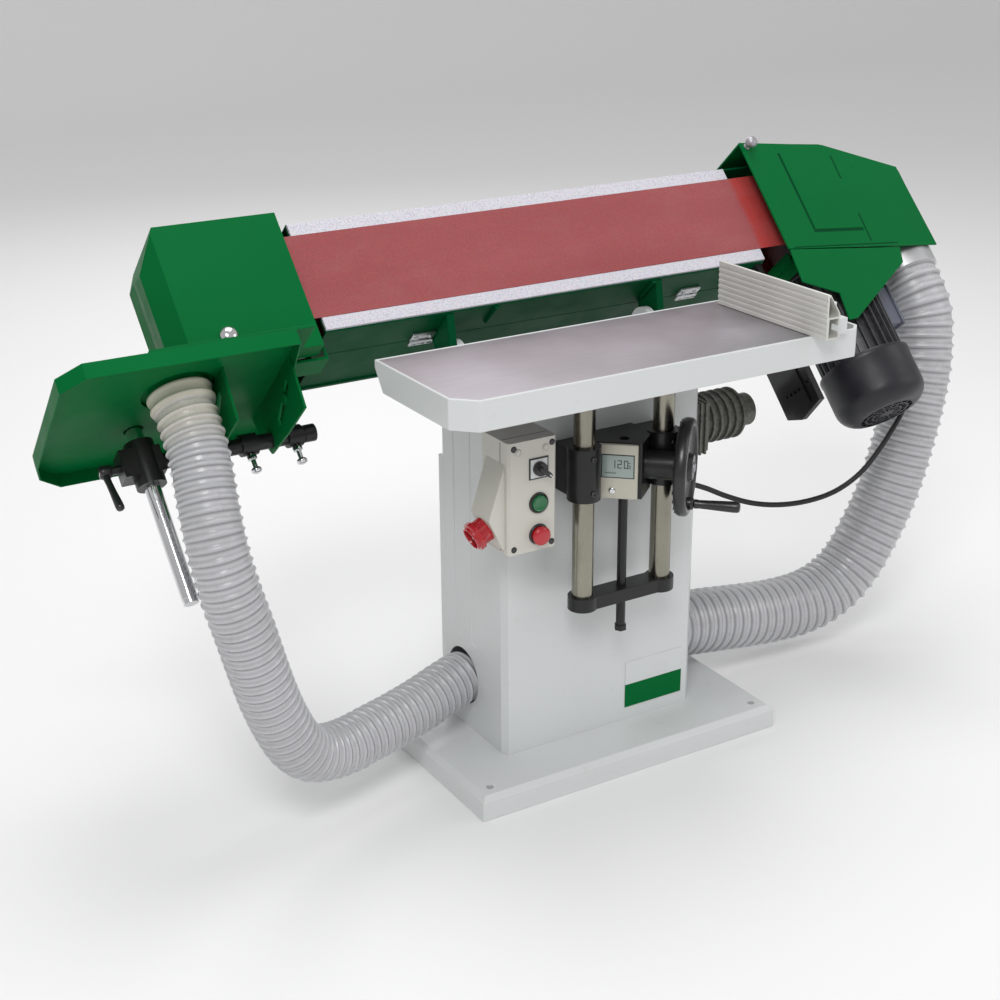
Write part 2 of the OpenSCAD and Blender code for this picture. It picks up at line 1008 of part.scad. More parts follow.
module hood_knob() {
  color([0.6, 0.6, 0.6])
    head()
      translate([479, 0, 35])
        rotate([0, lid_slope, 0])
          translate([4, 192, 0]) {
            cylinder(r = 4, h = 8);
            translate([0, 0, 15])
              sphere(r = 11);
          }
}

// --------------------------------------------------------------- idler end

module idler_carriage() {
  color([0.2, 0.2, 0.2])
    head() {
      // axle
      translate([idler_x, 0, idler_n])
        along_w(10, -26, belt_w + 8);
      translate([idler_x - 16, -34, idler_n - 16])
        cube([150, 9, 32]);
      // screw of the belt tensioner
      translate([0, -29.5, idler_n])
        along_x(6, idler_x + 134, -frame_half - 22);
    }
}

module idler_drum() {
  color([0.45, 0.45, 0.47])
    head()
      translate([idler_x, 0, idler_n])
        difference() {
          along_w(idler_r - 0.4, -2, belt_w + 2);
          along_w(10.06, -5, belt_w + 5);
          difference() {
            along_w(idler_r - 10, 12, belt_w - 12);
            along_w(18, 0, belt_w);
          }
        }
}

cover_w = [-51, 192];

// Section of the left cover in X and N, grown inwards by t
module cover_section(t) {
  polygon([[-457, -200], [-457, 8 - t], [-668 + 0.6 * t, 8 - t], [-692 + t, -30 - t / 3],
    [-688 + t, -66], [-680 + t, -100], [-680 + t, -200]]);
}

// Plan of the left cover, with its upper outer corner cut off
module cover_plan(t) {
  polygon([[-456, cover_w[0] + t], [-456, cover_w[1] - t], [-663 + t / 2, cover_w[1] - t],
    [-695 + t, 126], [-695 + t, cover_w[0] + t]]);
}

module left_cover() {
  color([0.0, 0.41, 0.19])
    head()
      difference() {
        intersection() {
          extrude_w(cover_w[0], cover_w[1])
            cover_section(0);
          translate([0, 0, -132])
            linear_extrude(160)
              cover_plan(0);
        }
        intersection() {
          extrude_w(cover_w[0] + 3, cover_w[1] - 3)
            cover_section(3);
          translate([0, 0, -190])
            linear_extrude(200)
              cover_plan(3);
        }
        // open towards the belt
        translate([-460, cover_w[0] + 3, -190])
          cube([10, cover_w[1] - cover_w[0] - 6, 195]);
        // lower side is open below the belt for the tensioner
        translate([-640, cover_w[0] - 5, -140])
          cube([200, 20, 112]);
        translate([-602, -10, 0])
          cylinder(r = 4.1, h = 20);
      }
}

module cover_knob() {
  color([0.75, 0.75, 0.77])
    head()
      translate([-602, -10, 8.3]) {
        translate([0, 0, -20])
          cylinder(r = 3.8, h = 22);
        cylinder(r = 15, h = 3);
        intersection() {
          translate([0, 0, -8])
            sphere(r = 19);
          translate([0, 0, 2.9])
            cylinder(r = 20, h = 20);
        }
      }
}

module suction_plate() {
  color([0.0, 0.3, 0.14])
    head() {
      difference() {
        union() {
          translate([-760, -58, -178])
            cube([260, 5, 268]);
          // strut to the head frame
          translate([-500, -58, -80])
            cube([61, 5, 50]);
          translate([-444, -58, -80])
            cube([5, 33, 50]);
        }
        translate([nozzle_x, 0, nozzle_n])
          along_w(42, -60, -50);
        translate([rod_x, 0, rod_n])
          along_w(rod_r, -60, -50);
      }
      translate([nozzle_x, 0, nozzle_n])
        difference() {
          along_w(46, -84, -58);
          along_w(42, -90, -50);
        }
    }
}

module support_rod() {
  color([0.8, 0.8, 0.8])
    head()
      translate([rod_x, 0, rod_n]) {
        along_w(rod_r, -352, -53);
        along_w(rod_r - 1, -360, -352);
      }
}

// ---------------------------------------------------------- auxiliary table

module aux_plan(t) {
  polygon([[-895 + t, 62], [-862 + t / 2, 98 - t], [-535 - t, 98 - t], [-522 - t, 20],
    [-480 - t, -180], [-480 - t, -277 + t], [-839 + t / 2, -277 + t], [-880 + t, -232],
    [-890 + t, -190]]);
}

module aux_table() {
  color([0.0, 0.36, 0.17])
    head() {
      difference() {
        extrude_w(-64, -61)
          aux_plan(0);
        translate([nozzle_x, 0, nozzle_n])
          along_w(58, -70, -50);
        translate([rod_x, 0, rod_n])
          along_w(rod_r + 3, -70, -50);
      }
      difference() {
        extrude_w(-61 - aux_rim, -64)
          aux_plan(0);
        extrude_w(-70 - aux_rim, -60)
          aux_plan(2.5);
      }
      // ears that hang on the support bar
      for (x = [-636, -526])
        difference() {
          extrude_x(x, x + 4)
            polygon([[-64, 19], [-150, 8], [-148, -88], [-142, -172], [-110, -190], [-64, -200]]);
          translate([0, -124, rod_n])
            along_x(support_r, x - 1, x + 5);
          // slot for the clamping bolt
          extrude_x(x - 1, x + 5)
            polygon([[-84, -20], [-96, -20], [-128, -96], [-124, -104], [-114, -102]]);
        }
      // clamping bolt in the front ear's slot
      translate([0, -104, -50]) {
        along_x(9, -529, -526);
        along_x(11, -522, -516);
        along_x(6, -516, -508);
      }
    }
}

module support_bar() {
  color([0.04, 0.04, 0.04])
    head()
      translate([0, -124, rod_n]) {
        along_x(support_r, rod_x + 26, -456);
        along_x(support_r + 1.5, -470, -450);
        // clamping collars beside the ears
        along_x(support_r + 5, -580, -552);
        along_x(support_r + 5, -632, -618);
        along_x(support_r + 5, -500, -474);
      }
}

module bar_screws() {
  w0 = -124 - support_r - 5;
  color([0.8, 0.8, 0.8])
    head()
      for (x = [-566, -487])
        translate([x, 0, rod_n]) {
          along_w(4.5, w0 - 26, w0);
          along_w(8, w0 - 8, w0 - 1);
          along_w(9, w0 - 32, w0 - 24);
        }
}

module clamp_block() {
  color([0.04, 0.04, 0.04])
    head()
      difference() {
        union() {
          translate([rod_x, 0, rod_n])
            along_w(24, -162, -88);
          translate([rod_x - 40, -146, rod_n - 19])
            cube([40, 46, 38]);
          translate([rod_x, -146, rod_n - 20])
            cube([26, 44, 40]);
        }
        translate([rod_x, 0, rod_n])
          along_w(rod_r + 0.06, -170, -80);
      }
}

module clamp_lever() {
  color([0.04, 0.04, 0.04])
    head()
      translate([rod_x - 41, -124, rod_n]) {
        along_x(7, -18, 0.6);
        along_x(11, -32, -14);
        rotate([-18, 0, 0])
          translate([-24, 0, 0])
            along_w(6.5, -78, 0);
      }
}

// ------------------------------------------------------------------- hoses

module left_hose() {
  color([0.72, 0.72, 0.74])
    tube_along(left_route, hose_l_r);
}

module left_cuff() {
  color([0.8, 0.76, 0.66])
    head()
      translate([nozzle_x, 0, nozzle_n])
        difference() {
          along_w(51, -96, -68);
          along_w(46, -100, -60);
        }
}

module right_hose() {
  color([0.72, 0.72, 0.74])
    tube_along(right_route, hose_r_r);
}

module right_cuff() {
  color([0.75, 0.75, 0.75])
    head()
      translate([port_x, 0, port_n])
        difference() {
          along_w(65, -62, -24);
          along_w(60, -70, -20);
        }
}

module motor_cable() {
  color([0.03, 0.03, 0.03])
    tube_along(cable_route, cable_r);
}

base_plate();
column_shell();
rear_panel();
dust_spigot();
front_plate();
tilt_gearbox();
control_box();
box_screws();
selector_plate();
inlet_housing();
power_inlet();
start_button();
stop_button();
selector_knob();
lift_bracket();
depth_readout();
handwheel();
crank_handle();
table_rim();
table_top();
guide_bars();
lift_screw();
crossbar();
fence();
fence_clamp();
head_frame();
cross_ribs();
pivot_arms();
platen();
edge_strips();
sanding_belt();
guard_hinges();
return_guard();
tilt_quadrant();
drive_housing();
skirt_plate();
motor_body();
motor_fan_cover();
terminal_box();
drive_drum();
motor_fan();
hood();
hood_knob();
idler_carriage();
idler_drum();
left_cover();
cover_knob();
suction_plate();
support_rod();
aux_table();
support_bar();
bar_screws();
clamp_block();
clamp_lever();
left_hose();
left_cuff();
right_hose();
right_cuff();
motor_cable();
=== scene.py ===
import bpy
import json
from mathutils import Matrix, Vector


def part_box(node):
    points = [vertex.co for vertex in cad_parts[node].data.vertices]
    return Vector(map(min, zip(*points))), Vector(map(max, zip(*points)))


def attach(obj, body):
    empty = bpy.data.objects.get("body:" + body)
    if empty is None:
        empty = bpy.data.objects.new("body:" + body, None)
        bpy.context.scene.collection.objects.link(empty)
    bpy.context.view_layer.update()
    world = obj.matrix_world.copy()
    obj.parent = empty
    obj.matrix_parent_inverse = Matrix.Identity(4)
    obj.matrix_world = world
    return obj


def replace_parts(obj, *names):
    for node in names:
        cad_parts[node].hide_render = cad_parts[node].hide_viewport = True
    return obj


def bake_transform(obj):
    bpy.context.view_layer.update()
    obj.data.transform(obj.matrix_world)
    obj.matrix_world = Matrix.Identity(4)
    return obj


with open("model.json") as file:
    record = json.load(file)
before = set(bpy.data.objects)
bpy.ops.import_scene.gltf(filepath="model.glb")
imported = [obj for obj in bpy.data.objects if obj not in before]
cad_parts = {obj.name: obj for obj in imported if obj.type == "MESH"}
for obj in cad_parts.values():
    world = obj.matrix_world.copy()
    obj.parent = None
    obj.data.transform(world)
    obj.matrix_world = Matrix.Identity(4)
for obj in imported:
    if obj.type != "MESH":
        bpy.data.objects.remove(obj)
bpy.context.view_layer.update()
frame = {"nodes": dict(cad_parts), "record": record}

import json
import math

import bmesh
import bpy
from mathutils import Matrix, Vector

NODES = frame["nodes"]
SCENE = bpy.context.scene
TILT = math.radians(47)
TILT_AXIS = (0, 0.003, 0.825)
# The head's own frame: X along the belt, W up its width, N out of its face.
HEAD = Matrix.Translation(TILT_AXIS) @ Matrix.Rotation(TILT, 4, "X")


# ------------------------------------------------------------------ camera

CAMERA_PLACE = (-1.5207, -2.3351, 1.5258)
CAMERA_TURNS = (-30.99, 21.55, -0.39)  # azimuth, elevation and roll, in degrees
CAMERA_LENS = 60.52  # mm, on a sensor 36 mm wide


def make_camera():
    """Looks down at the sander's front from its left."""
    az, el, roll = (math.radians(a) for a in CAMERA_TURNS)
    back = Vector((math.sin(az) * math.cos(el), -math.cos(az) * math.cos(el), math.sin(el)))
    right = Vector((math.cos(az), math.sin(az), 0))
    up = back.cross(right)
    r = math.cos(roll) * right + math.sin(roll) * up
    u = -math.sin(roll) * right + math.cos(roll) * up
    data = bpy.data.cameras.new("camera")
    data.sensor_width = 36
    data.lens = CAMERA_LENS
    cam = bpy.data.objects.new("camera", data)
    cam.matrix_world = Matrix.Translation(CAMERA_PLACE) @ Matrix((r, u, back)).transposed().to_4x4()
    SCENE.collection.objects.link(cam)
    SCENE.camera = cam


make_camera()

# --------------------------------------------------------------- materials


class Nodes:
    """A material's node tree, with short ways to add and join nodes."""

    def __init__(self, name):
        self.mat = bpy.data.materials.new(name)
        self.mat.use_nodes = True
        self.tree = self.mat.node_tree
        self.bsdf = self.tree.nodes["Principled BSDF"]
        self.coord = self.add("ShaderNodeTexCoord")

    def add(self, kind, **values):
        node = self.tree.nodes.new(kind)
        for key, value in values.items():
            if hasattr(node, key):
                setattr(node, key, value)
            else:
                node.inputs[key.replace("_", " ")].default_value = value
        return node

    def join(self, out, into):
        self.tree.links.new(out, into)

    def mapped(self, scale):
        node = self.add("ShaderNodeMapping")
        node.inputs["Scale"].default_value = scale
        self.join(self.coord.outputs["Object"], node.inputs["Vector"])
        return node.outputs["Vector"]

    def noise(self, scale, detail=3.0, stretch=(1, 1, 1), rough=0.5):
        node = self.add("ShaderNodeTexNoise")
        node.inputs["Scale"].default_value = scale
        node.inputs["Detail"].default_value = detail
        node.inputs["Roughness"].default_value = rough
        self.join(self.mapped(stretch), node.inputs["Vector"])
        return node.outputs["Fac"]

    def voronoi(self, scale, out="Distance"):
        node = self.add("ShaderNodeTexVoronoi")
        node.inputs["Scale"].default_value = scale
        self.join(self.mapped((1, 1, 1)), node.inputs["Vector"])
        return node.outputs[out]

    def ramp(self, fac, stops):
        node = self.add("ShaderNodeValToRGB")
        ramp = node.color_ramp
        while len(ramp.elements) < len(stops):
            ramp.elements.new(0.5)
        for element, (place, colour) in zip(ramp.elements, stops):
            element.position = place
            element.color = (*colour, 1) if len(colour) == 3 else colour
        self.join(fac, node.inputs["Fac"])
        return node.outputs["Color"]

    def span(self, fac, low, high, start=0.0, end=1.0):
        node = self.add("ShaderNodeMapRange")
        for key, value in (("From Min", start), ("From Max", end), ("To Min", low), ("To Max", high)):
            node.inputs[key].default_value = value
        self.join(fac, node.inputs["Value"])
        return node.outputs["Result"]

    def mix(self, fac, a, b, blend="MIX"):
        node = self.add("ShaderNodeMix", data_type="RGBA", blend_type=blend)
        for value, key in ((fac, 0), (a, 6), (b, 7)):
            if isinstance(value, (int, float)):
                node.inputs[key].default_value = value
            elif isinstance(value, tuple):
                node.inputs[key].default_value = (*value, 1)
            else:
                self.join(value, node.inputs[key])
        return node.outputs[2]

    def math(self, kind, a, b):
        node = self.add("ShaderNodeMath", operation=kind)
        for value, key in ((a, 0), (b, 1)):
            if isinstance(value, (int, float)):
                node.inputs[key].default_value = value
            else:
                self.join(value, node.inputs[key])
        return node.outputs[0]

    def bump(self, height, strength, distance):
        node = self.add("ShaderNodeBump")
        node.inputs["Strength"].default_value = strength
        node.inputs["Distance"].default_value = distance
        self.join(height, node.inputs["Height"])
        last = self.bsdf.inputs["Normal"].links
        if last:
            self.join(last[0].from_socket, node.inputs["Normal"])
        self.join(node.outputs["Normal"], self.bsdf.inputs["Normal"])

    def set(self, colour=None, rough=None, metal=None, coat=None, coat_rough=None, spec=None):
        for key, value in (("Base Color", colour), ("Roughness", rough), ("Metallic", metal),
                           ("Coat Weight", coat), ("Coat Roughness", coat_rough),
                           ("Specular IOR Level", spec)):
            if value is None:
                continue
            if isinstance(value, (int, float)):
                self.bsdf.inputs[key].default_value = value
            elif isinstance(value, tuple):
                self.bsdf.inputs[key].default_value = (*value, 1)
            else:
                self.join(value, self.bsdf.inputs[key])


def shade(colour, k):
    """A colour made darker or lighter by a factor."""
    return tuple(min(1.0, c * k) for c in colour)


def paint(name, colour, rough=0.32, coat=0.25, dirt=0.10, peel=0.12, grime=None, spec=0.3):
    """Sprayed enamel: fine orange peel, soft patches of tone, dust and small scuffs."""
    t = Nodes(name)
    tone = t.ramp(t.noise(2.6, 4), [(0.3, shade(colour, 1 - dirt)), (0.7, shade(colour, 1 + dirt * 0.5))])
    fine = t.noise(900, 2)
    tone = t.mix(t.span(fine, 0.0, 0.10), tone, shade(colour, 1.25))
    scuff = t.ramp(t.noise(34, 8, (1, 1, 2.5), 0.68), [(0.60, (0, 0, 0)), (0.74, (1, 1, 1))])
    tone = t.mix(t.math("MULTIPLY", scuff, 0.22), tone, grime or shade(colour, 0.62))
    dulled = t.math("ADD", t.noise(14, 6), t.math("MULTIPLY", scuff, 0.4))
    t.set(tone, t.span(dulled, rough * 0.8, rough * 1.35, 0.3, 0.9), 0.0, coat, 0.12, spec)
    t.bump(t.noise(520, 2), peel, 0.0004)
    t.bump(t.noise(9, 2), 0.05, 0.004)
    return t.mat


def moulded(name, colour, rough=0.42, grain=0.25, coat=0.0):
    """Moulded plastic with a fine grain, finger marks and paler high spots."""
    t = Nodes(name)
    tone = t.ramp(t.noise(6, 5), [(0.3, shade(colour, 0.85)), (0.7, shade(colour, 1.2))])
    tone = t.mix(t.math("MULTIPLY", t.voronoi(1400), 0.10), tone, shade(colour, 2.0))
    t.set(tone, t.span(t.noise(22, 6), rough * 0.8, rough * 1.3, 0.3, 0.75), 0.0, coat, 0.1)
    t.bump(t.voronoi(1100), grain, 0.0003)
    return t.mat


def turned_metal(name, colour, rough=0.28, stretch=(1, 1, 1), scale=420, depth=0.2, stain=None, metal=1.0):
    """Ground or turned metal: fine lay lines, cloudy tone and oily patches."""
    t = Nodes(name)
    lines = t.noise(scale, 2, stretch)
    cloud = t.noise(5, 5)
    tone = t.ramp(cloud, [(0.3, shade(colour, 0.82)), (0.7, shade(colour, 1.12))])
    tone = t.mix(t.span(lines, 0.0, 0.35), tone, shade(colour, 0.68))
    if stain:
        spots = t.ramp(t.noise(17, 7, rough=0.6), [(0.55, (0, 0, 0)), (0.75, (1, 1, 1))])
        tone = t.mix(t.math("MULTIPLY", spots, 0.35), tone, stain)
    mottle = t.math("ADD", lines, t.math("MULTIPLY", cloud, 0.8))
    t.set(tone, t.span(mottle, rough * 0.75, rough * 1.4, 0.4, 1.3), metal)
    t.bump(lines, depth, 0.0002)
    return t.mat


def cast(name, colour, rough=0.6, metal=0.0, depth=0.45):
    """Sand-cast metal under paint or oil: pitted, with darker hollows."""
    t = Nodes(name)
    pits = t.noise(140, 7, rough=0.62)
    tone = t.ramp(pits, [(0.32, shade(colour, 0.6)), (0.68, shade(colour, 1.35))])
    t.set(tone, t.span(t.noise(30, 4), rough * 0.75, rough * 1.2, 0.3, 0.7), metal, 0.05, 0.3)
    t.bump(pits, depth, 0.0012)
    return t.mat


HOOD_SHADE_FROM = 0.443  # where the painted shade starts along X: from here on, in the hood's partial shade, the belt is drawn a deeper, more saturated red


def abrasive(name):
    """Red-brown abrasive grain glued to cloth, a little worn along its run."""
    t = Nodes(name)
    grit = t.voronoi(780, "Color")
    grain = t.noise(1500, 3)
    base = t.ramp(t.noise(3.2, 5, (0.5, 3.0, 3.0)),
                  [(0.3, (0.330, 0.078, 0.082)), (0.72, (0.385, 0.100, 0.105))])
    x = t.add("ShaderNodeSeparateXYZ")
    t.join(t.coord.outputs["Object"], x.inputs[0])
    # painted shade: beyond that point along X the belt is mixed toward a deeper, more saturated red, for the
    # hood's partial shade
    ragged = t.math("ADD", x.outputs[0], t.math("MULTIPLY", t.noise(40, 3), 0.012))
    tint_mask = t.span(ragged, 0.0, 1.0, HOOD_SHADE_FROM, HOOD_SHADE_FROM + 0.013)
    base = t.mix(t.math("MULTIPLY", tint_mask, 0.8), base, (0.50, 0.030, 0.022))
    tone = t.mix(0.22, base, grit, "SOFT_LIGHT")
    tone = t.mix(t.span(grain, 0.0, 0.55, 0.35, 0.75), tone, (0.20, 0.035, 0.04))
    spark = t.ramp(t.voronoi(620), [(0.0, (1, 1, 1)), (0.09, (0, 0, 0))])
    tone = t.mix(t.math("MULTIPLY", spark, 0.35), tone, (0.75, 0.50, 0.50))
    wear = t.ramp(t.noise(30, 5, (0.4, 1, 1)), [(0.5, (0, 0, 0)), (0.8, (1, 1, 1))])
    tone = t.mix(t.math("MULTIPLY", wear, 0.12), tone, (0.42, 0.20, 0.19))
    t.set(tone, t.span(grain, 0.72, 0.95), 0.0, 0.0, 0.2, 0.35)
    t.bump(t.voronoi(900), 0.55, 0.0007)
    t.bump(grain, 0.35, 0.0004)
    return t.mat


def speckled(name):
    """Pale laminate with fine grey and violet specks."""
    t = Nodes(name)
    cells = t.voronoi(620, "Color")
    tone = t.mix(0.14, (0.60, 0.585, 0.64), cells, "OVERLAY")
    dots = t.ramp(t.noise(520, 2), [(0.50, (0, 0, 0)), (0.62, (1, 1, 1))])
    tone = t.mix(t.math("MULTIPLY", dots, 0.5), tone, (0.76, 0.75, 0.80))
    dark = t.ramp(t.noise(430, 3), [(0.53, (0, 0, 0)), (0.62, (1, 1, 1))])
    tone = t.mix(t.math("MULTIPLY", dark, 0.42), tone, (0.26, 0.24, 0.32))
    t.set(tone, t.span(t.noise(80, 4), 0.35, 0.6), 0.0, 0.1, 0.2)
    t.bump(dots, 0.15, 0.0003)
    return t.mat


def hose_skin(name, colour, dust_and_shade):
    """Thin ribbed hose wall: slightly see-through, with dusty streaks, and painted shade darkening its
    grooves.
    """
    t = Nodes(name)
    cloud = t.noise(4, 6)
    tone = t.ramp(cloud, [(0.3, shade(colour, 0.88)), (0.7, shade(colour, 1.08))])
    streak = t.ramp(t.noise(46, 6, rough=0.65), [(0.5, (0, 0, 0)), (0.75, (1, 1, 1))])
    tone = t.mix(t.math("MULTIPLY", streak, 0.25), tone, dust_and_shade)
    # painted shade: the groove attribute darkens the hose wall in the grooves beside each bead
    groove = t.add("ShaderNodeAttribute", attribute_name="groove")
    tone = t.mix(t.math("MULTIPLY", groove.outputs["Fac"], 0.75), tone, shade(dust_and_shade, 0.42))
    new_end = t.add("ShaderNodeAttribute", attribute_name="collar")
    tone = t.mix(t.math("MULTIPLY", new_end.outputs["Fac"], 0.7), tone, (0.62, 0.58, 0.48))
    t.set(tone, t.span(t.noise(90, 5), 0.24, 0.42, 0.3, 0.7), 0.0, 0.2, 0.15)
    t.bump(t.noise(260, 4), 0.12, 0.0006)
    return t.mat


GREEN = (0.0, 0.130, 0.030)
M = {
    "white_paint": paint("white_enamel", (0.66, 0.68, 0.68), 0.38, 0.15, 0.03, 0.12, (0.48, 0.48, 0.46)),
    "green_paint": paint("green_enamel", GREEN, 0.42, 0.0, 0.08, 0.08, (0.0, 0.09, 0.03), 0.06),
    "dark_green_paint": paint("dark_green_enamel", (0.0, 0.070, 0.022), 0.45, 0.0, 0.12, 0.1,
                              (0.0, 0.04, 0.015), 0.06),
    "black_paint": paint("black_enamel", (0.012, 0.012, 0.013), 0.34, 0.2, 0.2, 0.25, (0.05, 0.05, 0.05)),
    "black_plastic": moulded("black_moulding", (0.013, 0.013, 0.014), 0.32, 0.2, 0.2),
    "beige_paint": paint("beige_enamel", (0.60, 0.585, 0.53), 0.45, 0.1, 0.06, 0.3, (0.42, 0.40, 0.35)),
    "machined_steel": turned_metal("ground_steel", (0.46, 0.445, 0.475), 0.42, (0.02, 1, 1), 900, 0.12),
    # painted reflection: the steel of the bars is given an olive-bronze tint for the colour they reflect; the
    # darker patches are oil stains
    "bar_steel": turned_metal("oiled_bar_reflection_tint", (0.30, 0.285, 0.235), 0.22, (1, 1, 0.05), 700, 0.15,
                              (0.12, 0.10, 0.06)),
    "chrome": turned_metal("bright_chrome", (0.78, 0.78, 0.80), 0.10, (1, 1, 1), 300, 0.03),
    "extruded_aluminium": turned_metal("anodised_extrusion", (0.62, 0.62, 0.63), 0.38, (1, 0.03, 1), 800,
                                       0.25),
    "cast_grey": cast("cast_gear_case", (0.13, 0.13, 0.112), 0.5, 0.35, 0.8),
    "motor_grey": cast("motor_casting", (0.050, 0.050, 0.054), 0.42, 0.2, 0.25),
    "belt_abrasive": abrasive("abrasive_belt"),
    "speckled_strip": speckled("speckled_laminate"),
    "hose_plastic": hose_skin("hose_wall", (0.56, 0.56, 0.585), (0.33, 0.32, 0.32)),
    "cuff_plastic": moulded("cream_cuff", (0.58, 0.53, 0.42), 0.4, 0.2, 0.1),
    "red_plastic": moulded("red_moulding", (0.42, 0.006, 0.013), 0.22, 0.06, 0.5),
    "green_plastic": moulded("green_moulding", (0.0, 0.125, 0.032), 0.22, 0.06, 0.5),
    "readout_plastic": moulded("readout_case", (0.47, 0.45, 0.38), 0.45, 0.25),
    "cable_rubber": moulded("cable_sheath", (0.009, 0.009, 0.009), 0.4, 0.3),
}
GREY_BLUE = paint("terminal_box_enamel", (0.13, 0.14, 0.18), 0.4, 0.2, 0.1, 0.2)
FAN_BLACK = moulded("fan_cover_enamel", (0.011, 0.011, 0.015), 0.42, 0.12, 0.0)
# painted shadow: a near-black green for the bottoms of the hood's grooves and its crease lines
FOLD_SHADOW_GREEN = paint("fold_shadow", (0.0, 0.055, 0.018), 0.5, 0.1, 0.05, 0.0, None, 0.02)
FENCE_SILVER = turned_metal("brushed_fence", (0.72, 0.72, 0.68), 0.5, (1, 0.03, 1), 800, 0.15, None, 0.25)
INNER_CREAM = moulded("cream_ring", (0.60, 0.56, 0.46), 0.4, 0.15, 0.1)
GALVANISED = turned_metal("galvanised_port", (0.66, 0.67, 0.68), 0.33, (1, 1, 1), 60, 0.1)
LCD = moulded("display_glass", (0.27, 0.33, 0.31), 0.14, 0.02, 0.6)
INK = moulded("display_segments", (0.02, 0.03, 0.03), 0.4, 0.05)
STEEL_DARK = turned_metal("blackened_steel", (0.10, 0.10, 0.10), 0.35, (1, 1, 1), 300, 0.15)

# ------------------------------------------------------------ mesh helpers


def finish_piece(bm, name, body, mats, smooth=40, merge=True):
    """Turns a bmesh into an object that rides on a body, smooth up to an angle."""
    if merge:
        bmesh.ops.remove_doubles(bm, verts=bm.verts, dist=1e-6)
    bmesh.ops.recalc_face_normals(bm, faces=bm.faces)
    mesh = bpy.data.meshes.new(name)
    bm.to_mesh(mesh)
    bm.free()
    for m in (mats if isinstance(mats, (list, tuple)) else [mats]):
        mesh.materials.append(m)
    for p in mesh.polygons:
        p.use_smooth = True
    mesh.set_sharp_from_angle(angle=math.radians(smooth))
    o = bpy.data.objects.new(name, mesh)
    SCENE.collection.objects.link(o)
    if body:
        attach(o, body)
    return o


def soften(bm, width, segments=3):
    """Rounds every edge where two faces turn by more than 30 degrees."""
    bmesh.ops.remove_doubles(bm, verts=bm.verts, dist=1e-7)
    edges = [e for e in bm.edges if len(e.link_faces) == 2 and e.calc_face_angle(0) > math.radians(30)]
    if edges and width > 0:
        bmesh.ops.bevel(bm, geom=edges, offset=width, segments=segments, profile=0.5,
                        affect="EDGES", clamp_overlap=True)


def add_prism(bm, outline, z0, z1, place=None, material=0):
    """A closed prism over an outline of (x, y), moved by a matrix."""
    low = [bm.verts.new((x, y, z0)) for x, y in outline]
    high = [bm.verts.new((x, y, z1)) for x, y in outline]
    faces = [bm.faces.new(list(reversed(low))), bm.faces.new(high)]
    n = len(outline)
    for i in range(n):
        j = (i + 1) % n
        faces.append(bm.faces.new((low[i], low[j], high[j], high[i])))
    for f in faces:
        f.material_index = material
    if place is not None:
        bmesh.ops.transform(bm, matrix=place, verts=low + high)


def add_box(bm, lo, hi, place=None, material=0):
    """A plain box from its lowest to its highest corner, moved by a matrix."""
    outline = [(lo[0], lo[1]), (hi[0], lo[1]), (hi[0], hi[1]), (lo[0], hi[1])]
    add_prism(bm, outline, lo[2], hi[2], place, material)


def add_lathe(bm, profile, place=None, sides=48, material=0):
    """A turned shape from (radius, height) pairs up the Z axis; radius 0 closes an end."""
    rings = []
    for r, z in profile:
        if r < 1e-6:
            rings.append([bm.verts.new((0, 0, z))])
        else:
            rings.append([bm.verts.new((r * math.cos(a), r * math.sin(a), z))
                          for a in (2 * math.pi * k / sides for k in range(sides))])
    for a, b in zip(rings, rings[1:]):
        for k in range(sides):
            j = (k + 1) % sides
            if len(a) == 1 and len(b) == 1:
                continue
            if len(a) == 1:
                f = bm.faces.new((a[0], b[j], b[k]))
            elif len(b) == 1:
                f = bm.faces.new((a[k], a[j], b[0]))
            else:
                f = bm.faces.new((a[k], a[j], b[j], b[k]))
            f.material_index = material
    if place is not None:
        bmesh.ops.transform(bm, matrix=place, verts=[v for ring in rings for v in ring])


def axis_frame(origin, direction):
    """Matrix whose Z axis runs along a slanted direction from origin."""
    z = Vector(direction).normalized()
    x = Vector((0, 0, 1)).cross(z).normalized()
    y = z.cross(x)
    m = Matrix((x, y, z)).transposed().to_4x4()
    m.translation = Vector(origin)
    return m


def along_x(x, y, z):
    """Matrix for turned shapes along +X."""
    return Matrix.Translation((x, y, z)) @ Matrix.Rotation(math.pi / 2, 4, "Y")


W_AXIS = Matrix.Rotation(-math.pi / 2, 4, "X")


def along_w(x, w, n):
    """Matrix for turned shapes that run up the head's W axis from a point."""
    return HEAD @ Matrix.Translation((x, w, n)) @ W_AXIS


def hexagon(r):
    """Outline of a hexagon that is 2 r wide over its corners."""
    return [(r * math.cos(math.pi / 3 * k), r * math.sin(math.pi / 3 * k)) for k in range(6)]


def hex_bolt(bm, place, r, h):
    """Hexagon head with a chamfered top."""
    add_prism(bm, hexagon(r), 0, h, place)
    add_lathe(bm, [(0, h), (r * 0.86, h), (r * 0.74, h + 0.0006), (0, h + 0.0008)], place, 24)


def cap_screw(bm, place, r, h):
    """Round screw head with a socket."""
    profile = [(0, 0), (r, 0), (r, h * 0.75), (r * 0.85, h), (r * 0.5, h), (r * 0.48, h * 0.45), (0, h * 0.4)]
    add_lathe(bm, profile, place, 24)


# ------------------------------------------------------------ cords, hoses

def mm(points):
    """A route given in millimetres, in metres."""
    return [Vector(p) / 1000 for p in points]


